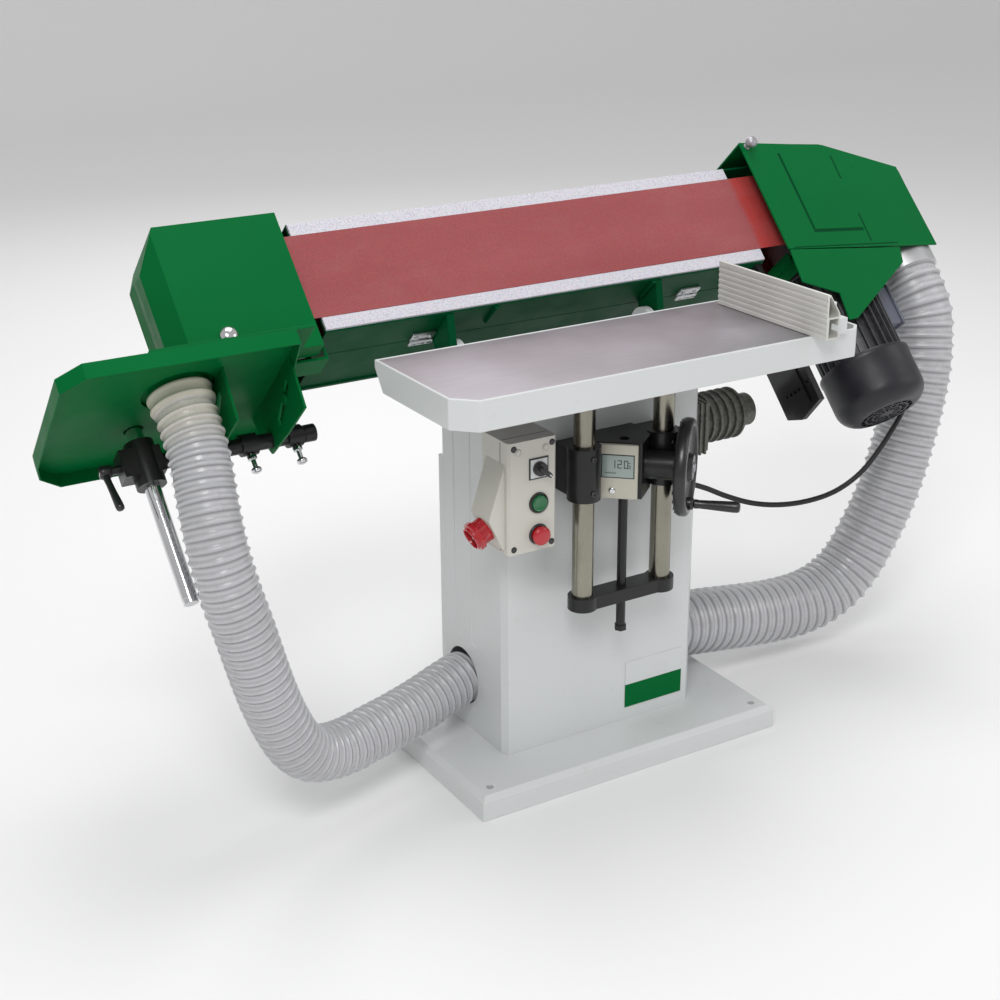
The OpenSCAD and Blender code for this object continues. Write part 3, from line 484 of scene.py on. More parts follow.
LEFT_ROUTE = mm([
    (-690, -33.2, 727.5), (-690, -60.5, 698.2), (-692, -88, 665), (-696, -112, 626), (-699, -133, 588),
    (-699, -149, 550), (-694, -160, 505), (-685, -165, 460), (-674, -166, 420), (-662, -164, 375),
    (-648, -159, 325), (-632, -152, 275), (-611, -143, 222), (-586, -133, 174), (-556, -123, 142),
    (-518, -111, 126), (-475, -98, 120), (-425, -82, 120), (-370, -65, 121), (-310, -45, 124),
    (-250, -25, 131), (-200, -12, 138)])
RIGHT_ROUTE = mm([
    (838, 31.7, 713.5), (838, 12.6, 693), (840, -5, 667), (841, -17, 636), (836, -27, 598),
    (829, -36, 556), (819, -41, 508), (806, -45, 460), (792, -47, 412), (777, -48, 362),
    (760, -48, 312), (738, -47, 262), (712, -45, 214), (682, -43, 168), (645, -40, 132),
    (598, -36, 108), (548, -33, 99), (495, -30, 98), (440, -28, 102), (385, -27, 109),
    (325, -26, 117), (260, -26, 125), (192, -26, 130)])
CABLE_ROUTE = mm([
    (710, -45, 640.1), (710, -65.5, 618.1), (715, -90, 587), (720, -107, 556), (718, -117, 524),
    (704, -120, 494), (684, -119, 464), (658, -115, 427), (630, -109, 393), (596, -101, 367),
    (556, -92, 350), (504, -80, 342), (450, -68, 344), (400, -54, 354), (352, -40, 373),
    (305, -32, 397), (252, -28, 418), (197, -26, 430)])


def smooth_path(points, spacing):
    """A Catmull-Rom curve through the points, cut at an even spacing."""
    dense = []
    for i in range(len(points) - 1):
        p0, p1 = points[max(i - 1, 0)], points[i]
        p2, p3 = points[i + 1], points[min(i + 2, len(points) - 1)]
        for k in range(16):
            t = k / 16
            dense.append(0.5 * (2 * p1 + (p2 - p0) * t + (2 * p0 - 5 * p1 + 4 * p2 - p3) * t * t
                                + (3 * p1 - p0 - 3 * p2 + p3) * t ** 3))
    dense.append(points[-1])
    run = [0.0]
    for a, b in zip(dense, dense[1:]):
        run.append(run[-1] + (b - a).length)
    count = max(2, round(run[-1] / spacing))
    out, i = [], 0
    for k in range(count + 1):
        want = run[-1] * k / count
        while i < len(run) - 2 and run[i + 1] < want:
            i += 1
        f = (want - run[i]) / (run[i + 1] - run[i])
        out.append(dense[i].lerp(dense[i + 1], f))
    return out, run[-1]


def add_tube(bm, path, radii, sides):
    """Sweeps rings of the given radii along a path without twist, and closes its ends."""
    rings, x = [], None
    for i, p in enumerate(path):
        t = (path[min(i + 1, len(path) - 1)] - path[max(i - 1, 0)]).normalized()
        if x is None:
            x = t.orthogonal().normalized()
        x = (x - t * x.dot(t)).normalized()
        y = t.cross(x)
        rings.append([bm.verts.new(p + radii[i] * (math.cos(a) * x + math.sin(a) * y))
                      for a in (2 * math.pi * k / sides for k in range(sides))])
    for a, b in zip(rings, rings[1:]):
        for k in range(sides):
            j = (k + 1) % sides
            bm.faces.new((a[k], a[j], b[j], b[k]))
    bm.faces.new(list(reversed(rings[0])))
    bm.faces.new(rings[-1])
    return rings


HOSE_SIDES = 40


def ribbed_hose(name, route, r, pitch, depth, node, collar_at=-1.0):
    """A hose with a bead of wire every pitch and a thin wall drawn in between."""
    steps = 8
    path, length = smooth_path(route, pitch / steps)
    radii, shapes = [], []
    for i in range(len(path)):
        d = abs((i / steps) % 1 - 0.5) * pitch
        bead = math.exp(-((pitch / 2 - d) / (0.17 * pitch)) ** 2)
        wall = 0.16 * math.cos(math.pi * ((i / steps) % 1 - 0.5)) ** 2
        shapes.append(min(1.0, bead + wall))
        radii.append(r - depth * (1 - shapes[-1]))
    bm = bmesh.new()
    groove = bm.verts.layers.float.new("groove")
    collar = bm.verts.layers.float.new("collar")
    rings = add_tube(bm, path, radii, HOSE_SIDES)
    for i, ring in enumerate(rings):
        phase = (i / steps) % 1
        # painted shade: a dark band just after each bead and a fainter one before the next
        shadow = math.exp(-((phase - 0.27) / 0.12) ** 2) + 0.45 * math.exp(-((phase - 0.75) / 0.16) ** 2)
        tint_mask = max(0.0, 1 - abs(collar_at - i * pitch / steps) / 0.055)
        for v in ring:
            v[groove] = min(1.0, shadow)
            v[collar] = tint_mask
    hose = finish_piece(bm, name, None, M["hose_plastic"], smooth=75, merge=False)
    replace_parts(hose, node)
    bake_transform(hose)


def motor_cable():
    """The black cable from the terminal box to the column."""
    path, length = smooth_path(CABLE_ROUTE, 0.01)
    bm = bmesh.new()
    add_tube(bm, path, [0.005] * len(path), 20)
    cable = finish_piece(bm, "motor_cable_sheath", None, M["cable_rubber"], smooth=75, merge=False)
    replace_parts(cable, "motor_cable")
    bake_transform(cable)


ribbed_hose("left_dust_hose", LEFT_ROUTE, 0.048, 0.0165, 0.0042, "left_hose",
            0.02)
ribbed_hose("right_dust_hose", RIGHT_ROUTE, 0.063, 0.0205, 0.0055, "right_hose")
motor_cable()

# ------------------------------------------------------------- floor, light


def make_floor():
    """A pale floor that sweeps up into a backdrop."""
    t = Nodes("studio_floor")
    t.set((0.90, 0.90, 0.90), t.span(t.noise(3, 4), 0.55, 0.7), 0.0)
    bm = bmesh.new()
    reach, bend, half_width, below_feet = 7.0, 2.5, 14, 0.0005
    outline = [(-9.0, 0.0)]
    for k in range(13):
        a = math.pi / 2 * k / 12
        outline.append((reach + bend * math.sin(a), bend - bend * math.cos(a)))
    outline.append((reach + bend, 7.0))
    rows = [[bm.verts.new((x, y, z - below_feet)) for x in (-half_width, half_width)] for y, z in outline]
    for a, b in zip(rows, rows[1:]):
        bm.faces.new((a[0], a[1], b[1], b[0]))
    floor = finish_piece(bm, "studio_floor", None, t.mat, smooth=60)


def make_lights():
    """Soft studio lights: key, fill, top and rim, and a pale surround."""
    world = bpy.data.worlds.new("studio")
    world.use_nodes = True
    world.node_tree.nodes["Background"].inputs["Color"].default_value = (1.0, 1.0, 1.0, 1)
    world.node_tree.nodes["Background"].inputs["Strength"].default_value = 0.52
    SCENE.world = world
    for name, place, aim, size, power in (
            ("key", (-2.4, -3.2, 4.4), (0, 0, 0.6), 1.8, 105),
            ("fill", (3.6, -2.8, 2.6), (0.2, 0, 0.6), 2.4, 26),
            ("top", (0.3, 0.6, 4.4), (0, 0, 0.4), 2.6, 62),
            ("rim", (1.2, 3.6, 2.8), (0, 0, 0.7), 2.2, 30)):
        data = bpy.data.lights.new(name, "AREA")
        data.size = size
        data.energy = power
        lamp = bpy.data.objects.new(name, data)
        lamp.location = place
        lamp.rotation_euler = (Vector(aim) - Vector(place)).to_track_quat("-Z", "Y").to_euler()
        SCENE.collection.objects.link(lamp)


make_floor()
make_lights()
SCENE.view_settings.view_transform = "Standard"

# ------------------------------------------------- CAD nodes that stay shown

# CAD nodes by the radius of their rounded edges
SOFT_EDGES = {
    0.0030: "crossbar",
    0.0022: "base_plate lift_bracket",
    0.0020: "fence_clamp clamp_block",
    0.0018: "column_shell control_box",
    0.0016: "table_rim left_cover",
    0.0014: "inlet_housing tilt_gearbox",
    0.0012: "rear_panel return_guard tilt_quadrant drive_housing pivot_arms",
    0.0010: "hood support_bar idler_carriage drive_drum idler_drum left_cuff right_cuff",
    0.0008: ("head_frame edge_strips skirt_plate suction_plate aux_table motor_fan cross_ribs "
            "dust_spigot"),
    0.0006: "table_top lift_screw support_rod guide_bars box_screws",
    0.0004: "platen fence",
}


def round_edges(node, width):
    """Joins the mesh's split corners, drops its flat triangle lines and rounds its edges."""
    weld = node.modifiers.new("weld", "WELD")
    weld.merge_threshold = 1e-6
    flat = node.modifiers.new("flat_faces", "DECIMATE")
    flat.decimate_type = "DISSOLVE"
    flat.angle_limit = math.radians(0.6)
    bevel = node.modifiers.new("soft_edges", "BEVEL")
    bevel.width = width
    bevel.segments = 2
    bevel.limit_method = "ANGLE"
    bevel.angle_limit = math.radians(38)
    normals = node.modifiers.new("normals", "WEIGHTED_NORMAL")
    normals.keep_sharp = True
    normals.weight = 60


for row in frame["record"]["subparts"]:
    node = NODES[row["node"]]
    node.data.materials.clear()
    node.data.materials.append(M[row["material_slot"]])
for width, names in SOFT_EDGES.items():
    for name in names.split():
        round_edges(NODES[name], width)
NODES["fence"].data.materials[0] = FENCE_SILVER

# --------------------------------------------------------- detailed pieces


def local_box(bm, lo, hi, place, material=0, edge=0.0, segments=3):
    """A box with its own rounded edges, added to a mesh that has other shapes."""
    part = bmesh.new()
    add_box(part, lo, hi)
    soften(part, edge, segments=segments)
    merge_in(bm, part, place, material)


def local_prism(bm, outline, z0, z1, place, material=0, edge=0.0, segments=2):
    """A prism with its own rounded edges, added to a mesh that has other shapes."""
    part = bmesh.new()
    add_prism(part, outline, z0, z1)
    soften(part, edge, segments=segments)
    merge_in(bm, part, place, material)


def merge_in(bm, part, place, material):
    """Copies one bmesh into another, moved and with one material."""
    part.transform(place)
    made = {v: bm.verts.new(v.co) for v in part.verts}
    for f in part.faces:
        bm.faces.new([made[v] for v in f.verts]).material_index = material
    part.free()


def front_frame(x, y, z):
    """Matrix of something on a front: its Z axis points out of it, along -Y."""
    return Matrix.Translation((x, y, z)) @ Matrix.Rotation(math.pi / 2, 4, "X")


BOX_LOW, BOX_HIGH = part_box("control_box")
BOX_FRONT = BOX_LOW.y
# the controls, in one column on the front of the box
SWITCH_X = -0.188
SELECTOR_Z = 0.598
START_Z = 0.539
STOP_Z = 0.485
PLUG_XS, PLUG_Z = (-0.226, -0.175), 0.630


def selector_plate():
    """Square plate behind the selector, and the two plugs above it."""
    bm = bmesh.new()
    place = front_frame(SWITCH_X, BOX_FRONT, SELECTOR_Z)
    local_box(bm, (-0.018, -0.018, 0), (0.018, 0.018, 0.0013), place, 0, 0.0004)
    local_box(bm, (-0.0155, -0.0155, 0.0012), (0.0155, 0.0155, 0.002), place, 1, 0.0003)
    for x in PLUG_XS:
        add_lathe(bm, [(0, 0), (0.0062, 0), (0.0062, 0.0008), (0.0054, 0.0016), (0.0048, 0.0016),
                       (0.0046, 0.0008), (0.0042, 0.0008), (0.0040, 0.0018), (0, 0.0018)],
                  front_frame(x, BOX_FRONT, PLUG_Z), 32, 2)
    plate = finish_piece(bm, "selector_label_plate", "stand",
                         [M["black_plastic"], M["white_paint"], M["beige_paint"]])
    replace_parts(plate, "selector_plate")


def box_screws():
    """Screws and washers in the corners of the control box."""
    bm = bmesh.new()
    inset = 0.010
    head = [(0, 0.0012), (0.0016, 0.0012), (0.0018, 0.0018), (0.0036, 0.0014), (0.0042, 0.0002)]
    washer = [(0.0042, 0.0001), (0.0052, 0.0001), (0.0052, 0.0006), (0.0046, 0.0009), (0.0042, 0.0002)]
    for x in (BOX_LOW.x + inset, BOX_HIGH.x - inset):
        for z in (BOX_LOW.z + inset, BOX_HIGH.z - inset):
            place = front_frame(x, BOX_FRONT, z)
            add_lathe(bm, head, place, 20)
            add_lathe(bm, washer, place, 20)
    screws = finish_piece(bm, "control_box_lid_screws", "stand", STEEL_DARK)
    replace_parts(screws, "box_screws")


def button_bezels():
    """Rings around the two push buttons."""
    bm = bmesh.new()
    for z, h in ((START_Z, 0.0042), (STOP_Z, 0.0030)):
        profile = [(0.0144, -0.001), (0.0144, h - 0.0007), (0.0152, h), (0.0168, h - 0.0006),
                   (0.0178, 0.0008), (0.0178, -0.001), (0.0144, -0.001)]
        add_lathe(bm, profile, front_frame(SWITCH_X, BOX_FRONT, z), 48)
    finish_piece(bm, "button_bezels", "stand", M["black_plastic"])


def lid_seam():
    """The thin shadow line between the control box and its lid."""
    bm = bmesh.new()
    out, depth, corner = 0.0003, 0.0004, 0.003
    y0, y1 = BOX_FRONT + 0.024, BOX_FRONT + 0.0252
    for x0, x1 in ((BOX_LOW.x - out, BOX_LOW.x + depth), (BOX_HIGH.x - depth, BOX_HIGH.x + out)):
        local_box(bm, (x0, y0, BOX_LOW.z + corner), (x1, y1, BOX_HIGH.z - corner), Matrix())
    for z0, z1 in ((BOX_LOW.z - out, BOX_LOW.z + depth), (BOX_HIGH.z - depth, BOX_HIGH.z + out)):
        local_box(bm, (BOX_LOW.x + corner, y0, z0), (BOX_HIGH.x - corner, y1, z1), Matrix())
    finish_piece(bm, "control_box_lid_seam", "stand", M["black_plastic"])


def push_buttons():
    """Green start button and red mushroom stop button."""
    bm = bmesh.new()
    add_lathe(bm, [(0, -0.006), (0.0136, -0.006), (0.0138, 0.0045), (0.0130, 0.0062), (0.0112, 0.0068),
                   (0.0106, 0.0064), (0.0100, 0.0060), (0, 0.0066)],
              front_frame(SWITCH_X, BOX_FRONT, START_Z), 56)
    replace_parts(finish_piece(bm, "start_button_cap", "start_button", M["green_plastic"]), "start_button")
    bm = bmesh.new()
    add_lathe(bm, [(0, -0.006), (0.0132, -0.006), (0.0132, 0.0078), (0.0152, 0.0084), (0.0160, 0.0098),
                   (0.0158, 0.0118), (0.0146, 0.0139), (0.0120, 0.0153), (0.0070, 0.0159), (0, 0.0160)],
              front_frame(SWITCH_X, BOX_FRONT, STOP_Z), 56)
    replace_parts(finish_piece(bm, "stop_button_cap", "stop_button", M["red_plastic"]), "stop_button")


def selector():
    """Round selector with a lever and a white index line."""
    place = front_frame(SWITCH_X, BOX_FRONT, SELECTOR_Z)
    bm = bmesh.new()
    add_lathe(bm, [(0, 0.0022), (0.0118, 0.0022), (0.0120, 0.0040), (0.0116, 0.0095), (0.0104, 0.0120),
                   (0, 0.0122)], place, 48)
    turned = place @ Matrix.Rotation(math.radians(-40), 4, "Z")
    outline = [(-0.0060, -0.0042), (0.0130, -0.0042), (0.0185, -0.0028), (0.0200, 0.0), (0.0185, 0.0028),
               (0.0130, 0.0042), (-0.0060, 0.0042), (-0.0085, 0.0)]
    local_prism(bm, outline, 0.0110, 0.0195, turned, 0, 0.0012)
    index = [(0.012, -0.0009), (0.019, -0.0009), (0.019, 0.0009), (0.012, 0.0009)]
    local_prism(bm, index, 0.0192, 0.0198, turned, 1)
    knob = finish_piece(bm, "selector_lever_knob", "selector_knob", [M["black_plastic"], M["white_paint"]])
    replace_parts(knob, "selector_knob")


INLET_PLACE = (-0.264, -0.196, 0.497)
INLET_DROOP = math.radians(25)  # below the horizontal


def mains_inlet():
    """Round inlet with ribs, a flange, a keyway and five pins, pointing left and a little down."""
    place = axis_frame(INLET_PLACE, (-math.cos(INLET_DROOP), 0, -math.sin(INLET_DROOP)))
    bm = bmesh.new()
    add_lathe(bm, [(0, -0.011), (0.0198, -0.011), (0.0198, 0.0155), (0.0248, 0.0165), (0.0250, 0.0240),
                   (0.0235, 0.0252), (0.0206, 0.0256), (0.0200, 0.0285), (0.0192, 0.0298), (0.0175, 0.0298),
                   (0.0170, 0.0285), (0.0170, 0.0080), (0, 0.0080)], place, 56)
    for k in range(14):
        a = 2 * math.pi * k / 14
        turn = place @ Matrix.Rotation(a, 4, "Z")
        local_box(bm, (0.0190, -0.0012, -0.010), (0.0208, 0.0012, 0.0152), turn, 0, 0.0005, 1)
    local_box(bm, (0.0185, -0.0030, 0.0160), (0.0262, 0.0030, 0.0240), place, 0, 0.001)
    for k in range(5):
        a = 2 * math.pi * k / 5
        pin = place @ Matrix.Translation((0.0095 * math.cos(a), 0.0095 * math.sin(a), 0))
        add_lathe(bm, [(0, 0.007), (0.0022, 0.007), (0.0022, 0.0225), (0.0014, 0.0240), (0, 0.0242)],
                  pin, 16, 1)
    inlet = finish_piece(bm, "mains_inlet", "stand", [M["red_plastic"], M["chrome"]])
    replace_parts(inlet, "power_inlet")


READOUT = Matrix.Translation((-0.0595, -0.2127, 0.513)) @ Matrix.Rotation(math.radians(-42.2), 4, "Z")
SEGMENTS = {  # which strokes of a seven-segment figure are lit
    "0": "abcdef", "1": "bc", "2": "abged", "5": "afgcd"}


def figure(bm, glyph, x, z, h, place, material):
    """One seven-segment figure on the display, its lower left corner at x, z."""
    w, t, y0, y1 = h * 0.5, h * 0.11, -0.0009, -0.0006
    strokes = {"a": ((0, h - t), (w, h)), "d": ((0, 0), (w, t)),
               "g": ((0, h / 2 - t / 2), (w, h / 2 + t / 2)),
               "f": ((0, h / 2), (t, h)), "e": ((0, 0), (t, h / 2)),
               "b": ((w - t, h / 2), (w, h)), "c": ((w - t, 0), (w, h / 2))}
    for s in SEGMENTS[glyph]:
        (x0, z0), (x1, z1) = strokes[s]
        add_box(bm, (x + x0, y0, z + z0), (x + x1, y1, z + z1), place, material)


def depth_readout():
    """Readout case with its display, a generic figure and a round screw."""
    bm = bmesh.new()
    local_box(bm, (0, 0, 0), (0.066, 0.0079, 0.094), READOUT, 0, 0.0018)
    local_box(bm, (0.0055, -0.0006, 0.0365), (0.0605, 0.001, 0.0775), READOUT, 1, 0.0005)
    local_box(bm, (0.0072, -0.0008, 0.0382), (0.0588, 0.001, 0.0758), READOUT, 2, 0.0003)
    for k, glyph in enumerate("120"):
        figure(bm, glyph, 0.022 + 0.0105 * k, 0.054, 0.014, READOUT, 1)
    add_box(bm, (0.0455, -0.0009, 0.054), (0.0470, -0.0006, 0.0555), READOUT, 1)
    figure(bm, "5", 0.049, 0.054, 0.010, READOUT, 1)
    add_box(bm, (0.012, -0.0009, 0.0448), (0.030, -0.0006, 0.0458), READOUT, 1)
    for k in range(7):
        add_box(bm, (0.012 + 0.003 * k, -0.0009, 0.0458), (0.0125 + 0.003 * k, -0.0006, 0.0478), READOUT, 1)
    screw = READOUT @ front_frame(0.024, 0, 0.014)
    add_lathe(bm, [(0, 0.0012), (0.0018, 0.0012), (0.0021, 0.0020), (0.0044, 0.0018), (0.0056, 0.0008),
                   (0.0060, 0.0)], screw, 32, 3)
    case = finish_piece(bm, "readout_case", "stand", [M["readout_plastic"], INK, LCD, M["chrome"]])
    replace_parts(case, "depth_readout")


WHEEL = Matrix.Translation((0.072, -0.275, 0.561)) @ Matrix.Rotation(math.radians(-45), 4, "Z")
WHEEL_AXIS = WHEEL @ along_x(0, 0, 0)
CRANK = WHEEL @ along_x(0, 0.010, -0.068)


def handwheel():
    """Dished handwheel with its shaft, hub cap and the boss of its crank pin."""
    bm = bmesh.new()
    rim = [(0, -0.012), (0.0185, -0.012), (0.0215, -0.0095), (0.0225, -0.0060), (0.028, -0.0042),
           (0.060, -0.0040), (0.0655, -0.0055), (0.0680, -0.0088), (0.0705, -0.0100), (0.0765, -0.0098),
           (0.0802, -0.0074), (0.0818, -0.0035), (0.0820, 0.0010), (0.0816, 0.0058), (0.0796, 0.0092),
           (0.0765, 0.0108), (0.0710, 0.0110), (0.0688, 0.0096), (0.0672, 0.0062), (0.0625, 0.0042),
           (0.030, 0.0040), (0.0245, 0.0062), (0.0222, 0.0110), (0.0205, 0.0136), (0.0160, 0.0140),
           (0, 0.0140)]
    add_lathe(bm, rim, WHEEL_AXIS, 96)
    shaft = [(0, -0.058), (0.0072, -0.058), (0.008, -0.057), (0.008, -0.011), (0, -0.011)]
    add_lathe(bm, shaft, WHEEL_AXIS, 40, 1)
    add_lathe(bm, [(0, 0.0139), (0.0086, 0.0139), (0.0084, 0.0152), (0.0066, 0.0164), (0, 0.0166)],
              WHEEL_AXIS, 40, 1)
    add_lathe(bm, [(0, 0.002), (0.0108, 0.002), (0.0110, 0.0100), (0.0098, 0.0138), (0.0080, 0.0150),
                   (0, 0.0150)], CRANK, 40)
    # short ribs on the back of the rim
    for k in range(24):
        a = 2 * math.pi * k / 24
        grip = WHEEL @ Matrix.Rotation(a, 4, "X")
        local_box(bm, (-0.0110, -0.0016, 0.0705), (-0.0094, 0.0016, 0.0785), grip, 0, 0.0006, 1)
    wheel = finish_piece(bm, "handwheel_dish", "handwheel", [M["black_plastic"], M["machined_steel"]])
    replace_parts(wheel, "handwheel")


def revolving_handle():
    """The grip that turns on the crank pin."""
    bm = bmesh.new()
    add_lathe(bm, [(0, 0.0154), (0.0068, 0.0154), (0.0080, 0.0166), (0.0078, 0.0200), (0.0072, 0.0240),
                   (0.0078, 0.0400), (0.0088, 0.0620), (0.0095, 0.0800), (0.0093, 0.0868), (0.0082, 0.0905),
                   (0.0050, 0.0918), (0.0042, 0.0912), (0, 0.0910)], CRANK, 48)
    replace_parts(finish_piece(bm, "revolving_handle", "crank_handle", M["black_plastic"]), "crank_handle")


def head_lathe(bm, x, w, n, profile, sides):
    """A turned shape on the head, its Z axis up the belt's width from w."""
    add_lathe(bm, profile, along_w(x, w, n), sides)


# the axis of the drive drum and its motor, in the head's frame
DRIVE_X, DRIVE_N = 0.616, -0.0762


def fan_cover():
    """Rounded fan cover with a spoked grille in its end, a rolled lip and four screws."""
    bm = bmesh.new()
    r, low, lip, corner, wall = 0.088, -0.338, -0.234, 0.036, 0.003
    grille_r, skin = 0.052, r - 0.0012
    profile = [(grille_r, low)]
    for k in range(9):
        a = math.pi / 2 * k / 8
        profile.append((skin - corner + corner * math.sin(a), low + corner - corner * math.cos(a)))
    profile += [(skin, lip - 0.012), (r, lip - 0.010), (r, lip - 0.002), (r - 0.001, lip),
                (r - 0.004, lip), (r - 0.004, low + corner)]
    profile += [(r - corner, low + wall), (grille_r, low + wall), (grille_r, low)]
    head_lathe(bm, DRIVE_X, 0, DRIVE_N, profile, 96)
    for r0, r1 in ((0.0, 0.014), (0.026, 0.030), (0.039, 0.043)):
        ring = [(r0, low), (r1, low), (r1, low + wall), (r0, low + wall)]
        head_lathe(bm, DRIVE_X, 0, DRIVE_N, ring + ring[:1] if r0 else ring, 64)
    for k in range(16):
        spoke = along_w(DRIVE_X, 0, DRIVE_N) @ Matrix.Rotation(math.pi / 8 * k, 4, "Z")
        local_box(bm, (0.012, -0.0014, low), (0.054, 0.0014, low + wall), spoke)
    for k in range(4):
        turn = along_w(DRIVE_X, -0.240, DRIVE_N) @ Matrix.Rotation(math.pi / 4 + math.pi / 2 * k, 4, "Z")
        place = turn @ along_x(r - 0.003, 0, 0)
        add_lathe(bm, [(0.0, 0.0006), (0.0014, 0.0006), (0.0016, 0.0014), (0.0034, 0.0008), (0.0038, 0)],
                  place, 20, 1)
    cover = finish_piece(bm, "fan_cover", "head", [FAN_BLACK, M["chrome"]], smooth=50)
    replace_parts(cover, "motor_fan_cover")


def terminal_box():
    """Terminal box with its lid and the lid's four screws."""
    turn = HEAD @ Matrix.Translation((DRIVE_X, 0, DRIVE_N)) @ Matrix.Rotation(math.radians(8), 4, "Y")
    bm = bmesh.new()
    local_box(bm, (0.076, -0.168, -0.030), (0.1285, -0.088, 0.026), turn, 0, 0.003)
    local_box(bm, (0.1278, -0.1715, -0.0335), (0.1336, -0.0845, 0.0295), turn, 0, 0.0022)
    local_box(bm, (0.1290, -0.1660, -0.0280), (0.1340, -0.0900, 0.0240), turn, 0, 0.0030)
    for w in (-0.1655, -0.0905):
        for n in (-0.0275, 0.0235):
            place = turn @ along_x(0.1322, w, n)
            add_lathe(bm, [(0, 0.0006), (0.0014, 0.0006), (0.0016, 0.0016), (0.0030, 0.0012), (0.0036, 0)],
                      place, 20, 1)
    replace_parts(finish_piece(bm, "terminal_box_with_lid", "head", [GREY_BLUE, M["chrome"]]), "terminal_box")


def cable_gland():
    """Gland nut and bend relief where the cable leaves the terminal box."""
    bm = bmesh.new()
    gland = axis_frame(CABLE_ROUTE[0], CABLE_ROUTE[1] - CABLE_ROUTE[0])
    local_prism(bm, hexagon(0.0105), -0.001, 0.007, gland, 0, 0.0006)
    add_lathe(bm, [(0.0052, 0.006), (0.0090, 0.006), (0.0090, 0.014), (0.0076, 0.018), (0.0066, 0.020),
                   (0.0064, 0.030), (0.0058, 0.040), (0.0052, 0.042)], gland, 32)
    finish_piece(bm, "cable_gland", "head", M["black_plastic"])


COLUMN_SIDE_X = 0.196


def cable_grommet():
    """Rubber grommet where the cable goes into the column."""
    bm = bmesh.new()
    hole = along_x(COLUMN_SIDE_X, -0.026, 0.430)
    add_lathe(bm, [(0.0053, 0.0), (0.0078, 0.0), (0.0120, 0.0002), (0.0122, 0.0020), (0.0105, 0.0042),
                   (0.0072, 0.0050), (0.0053, 0.0046), (0.0053, 0.0)], hole, 40)
    finish_piece(bm, "cable_grommet", "stand", M["cable_rubber"])


def motor_end_ring():
    """End ring of the motor with its tie bolts."""
    bm = bmesh.new()
    profile = [(0.060, -0.046), (0.0792, -0.046), (0.0812, -0.044), (0.0812, -0.030),
               (0.0792, -0.028), (0.060, -0.028), (0.060, -0.046)]
    head_lathe(bm, DRIVE_X, 0, DRIVE_N, profile, 80)
    for k in range(4):
        turn = along_w(DRIVE_X, -0.046, DRIVE_N) @ Matrix.Rotation(math.pi / 4 + math.pi / 2 * k, 4, "Z")
        place = turn @ Matrix.Translation((0.0705, 0, 0)) @ Matrix.Rotation(math.pi, 4, "X")
        hex_bolt(bm, place, 0.0050, 0.0035)
    finish_piece(bm, "motor_end_ring", "head", M["motor_grey"])


LID_X, LID_N = 0.479, 0.035
LID_SLOPE = math.radians(9.65)


def lid_frame(x, y, z):
    """A place on the hood's sloping lid, from the lower end of the slope's front edge."""
    lid = HEAD @ Matrix.Translation((LID_X, 0, LID_N)) @ Matrix.Rotation(LID_SLOPE, 4, "Y")
    return lid @ Matrix.Translation((x, y, z))


def hood_knob():
    """Ball knob on its short neck."""
    bm = bmesh.new()
    add_lathe(bm, [(0, 0.0), (0.0062, 0.0), (0.0062, 0.0012), (0.0040, 0.0020), (0.0040, 0.0050),
                   (0.0056, 0.0062), (0.0084, 0.0080), (0.0104, 0.0112), (0.0110, 0.0150), (0.0104, 0.0190),
                   (0.0084, 0.0222), (0.0056, 0.0240), (0.0030, 0.0248), (0, 0.0250)],
              lid_frame(0.004, 0.192, 0), 40)
    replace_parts(finish_piece(bm, "hood_ball_knob", "hood", M["machined_steel"], smooth=60), "hood_knob")


def hood_fold_shadows():
    """Painted shadow: dark strips in the bottoms of the pressed grooves, and dark lines along the creases
    further along the lid.
    """
    bm = bmesh.new()
    lid = lid_frame(0, 0, 0)
    local_box(bm, (0.0794, 0.0104, -0.0011), (0.0856, 0.1776, -0.0007), lid)
    local_box(bm, (0.0794, 0.0044, -0.0011), (0.2186, 0.0106, -0.0007), lid)
    for y0, y1 in ((0.121, 0.173), (-0.019, 0.042)):
        crease = [(0.2235, y0), (0.2275, y0), (0.2290, y1), (0.2250, y1)]
        local_prism(bm, crease, -0.0004, 0.0004, lid, 0, 0.0002, 1)
    local_box(bm, (0.006, -0.0268, -0.0004), (0.300, -0.0244, 0.0004), lid, 0, 0.0002, 1)
    finish_piece(bm, "hood_fold_shadows", "hood", FOLD_SHADOW_GREEN)


HINGE_XS = (-0.245, 0.303)


def hinges():
    """Two butt hinges of the guard under the belt."""
    bm = bmesh.new()
    for x in HINGE_XS:
        place = HEAD @ Matrix.Translation((x, 0, 0))
        local_box(bm, (-0.022, -0.0310, -0.0790), (0.022, -0.0250, -0.0590), place, 0, 0.0012)
        local_box(bm, (-0.022, -0.0330, -0.0860), (0.022, -0.0312, -0.0760), place, 0, 0.0005)
        for x0, x1 in ((-0.022, -0.0085), (-0.008, 0.008), (0.0085, 0.022)):
            turned = HEAD @ along_x(x, -0.0315, -0.088)
            add_lathe(bm, [(0, x0), (0.0022, x0), (0.0026, x0 + 0.0005), (0.0026, x1 - 0.0005), (0.0022, x1),
                           (0, x1)], turned, 20)
        for dx in (-0.013, 0.013):
            cap_screw(bm, place @ front_frame(dx, -0.0310, -0.069), 0.0036, 0.0022)
    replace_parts(finish_piece(bm, "guard_hinge_leaves", "head", GALVANISED), "guard_hinges")


# the post of the auxiliary table and the clamping lever's pivot, in the head's frame
ROD_X, ROD_N = -0.737, -0.157
LEVER_X, LEVER_W = ROD_X - 0.041, -0.124
THUMB_XS = (-0.566, -0.487)


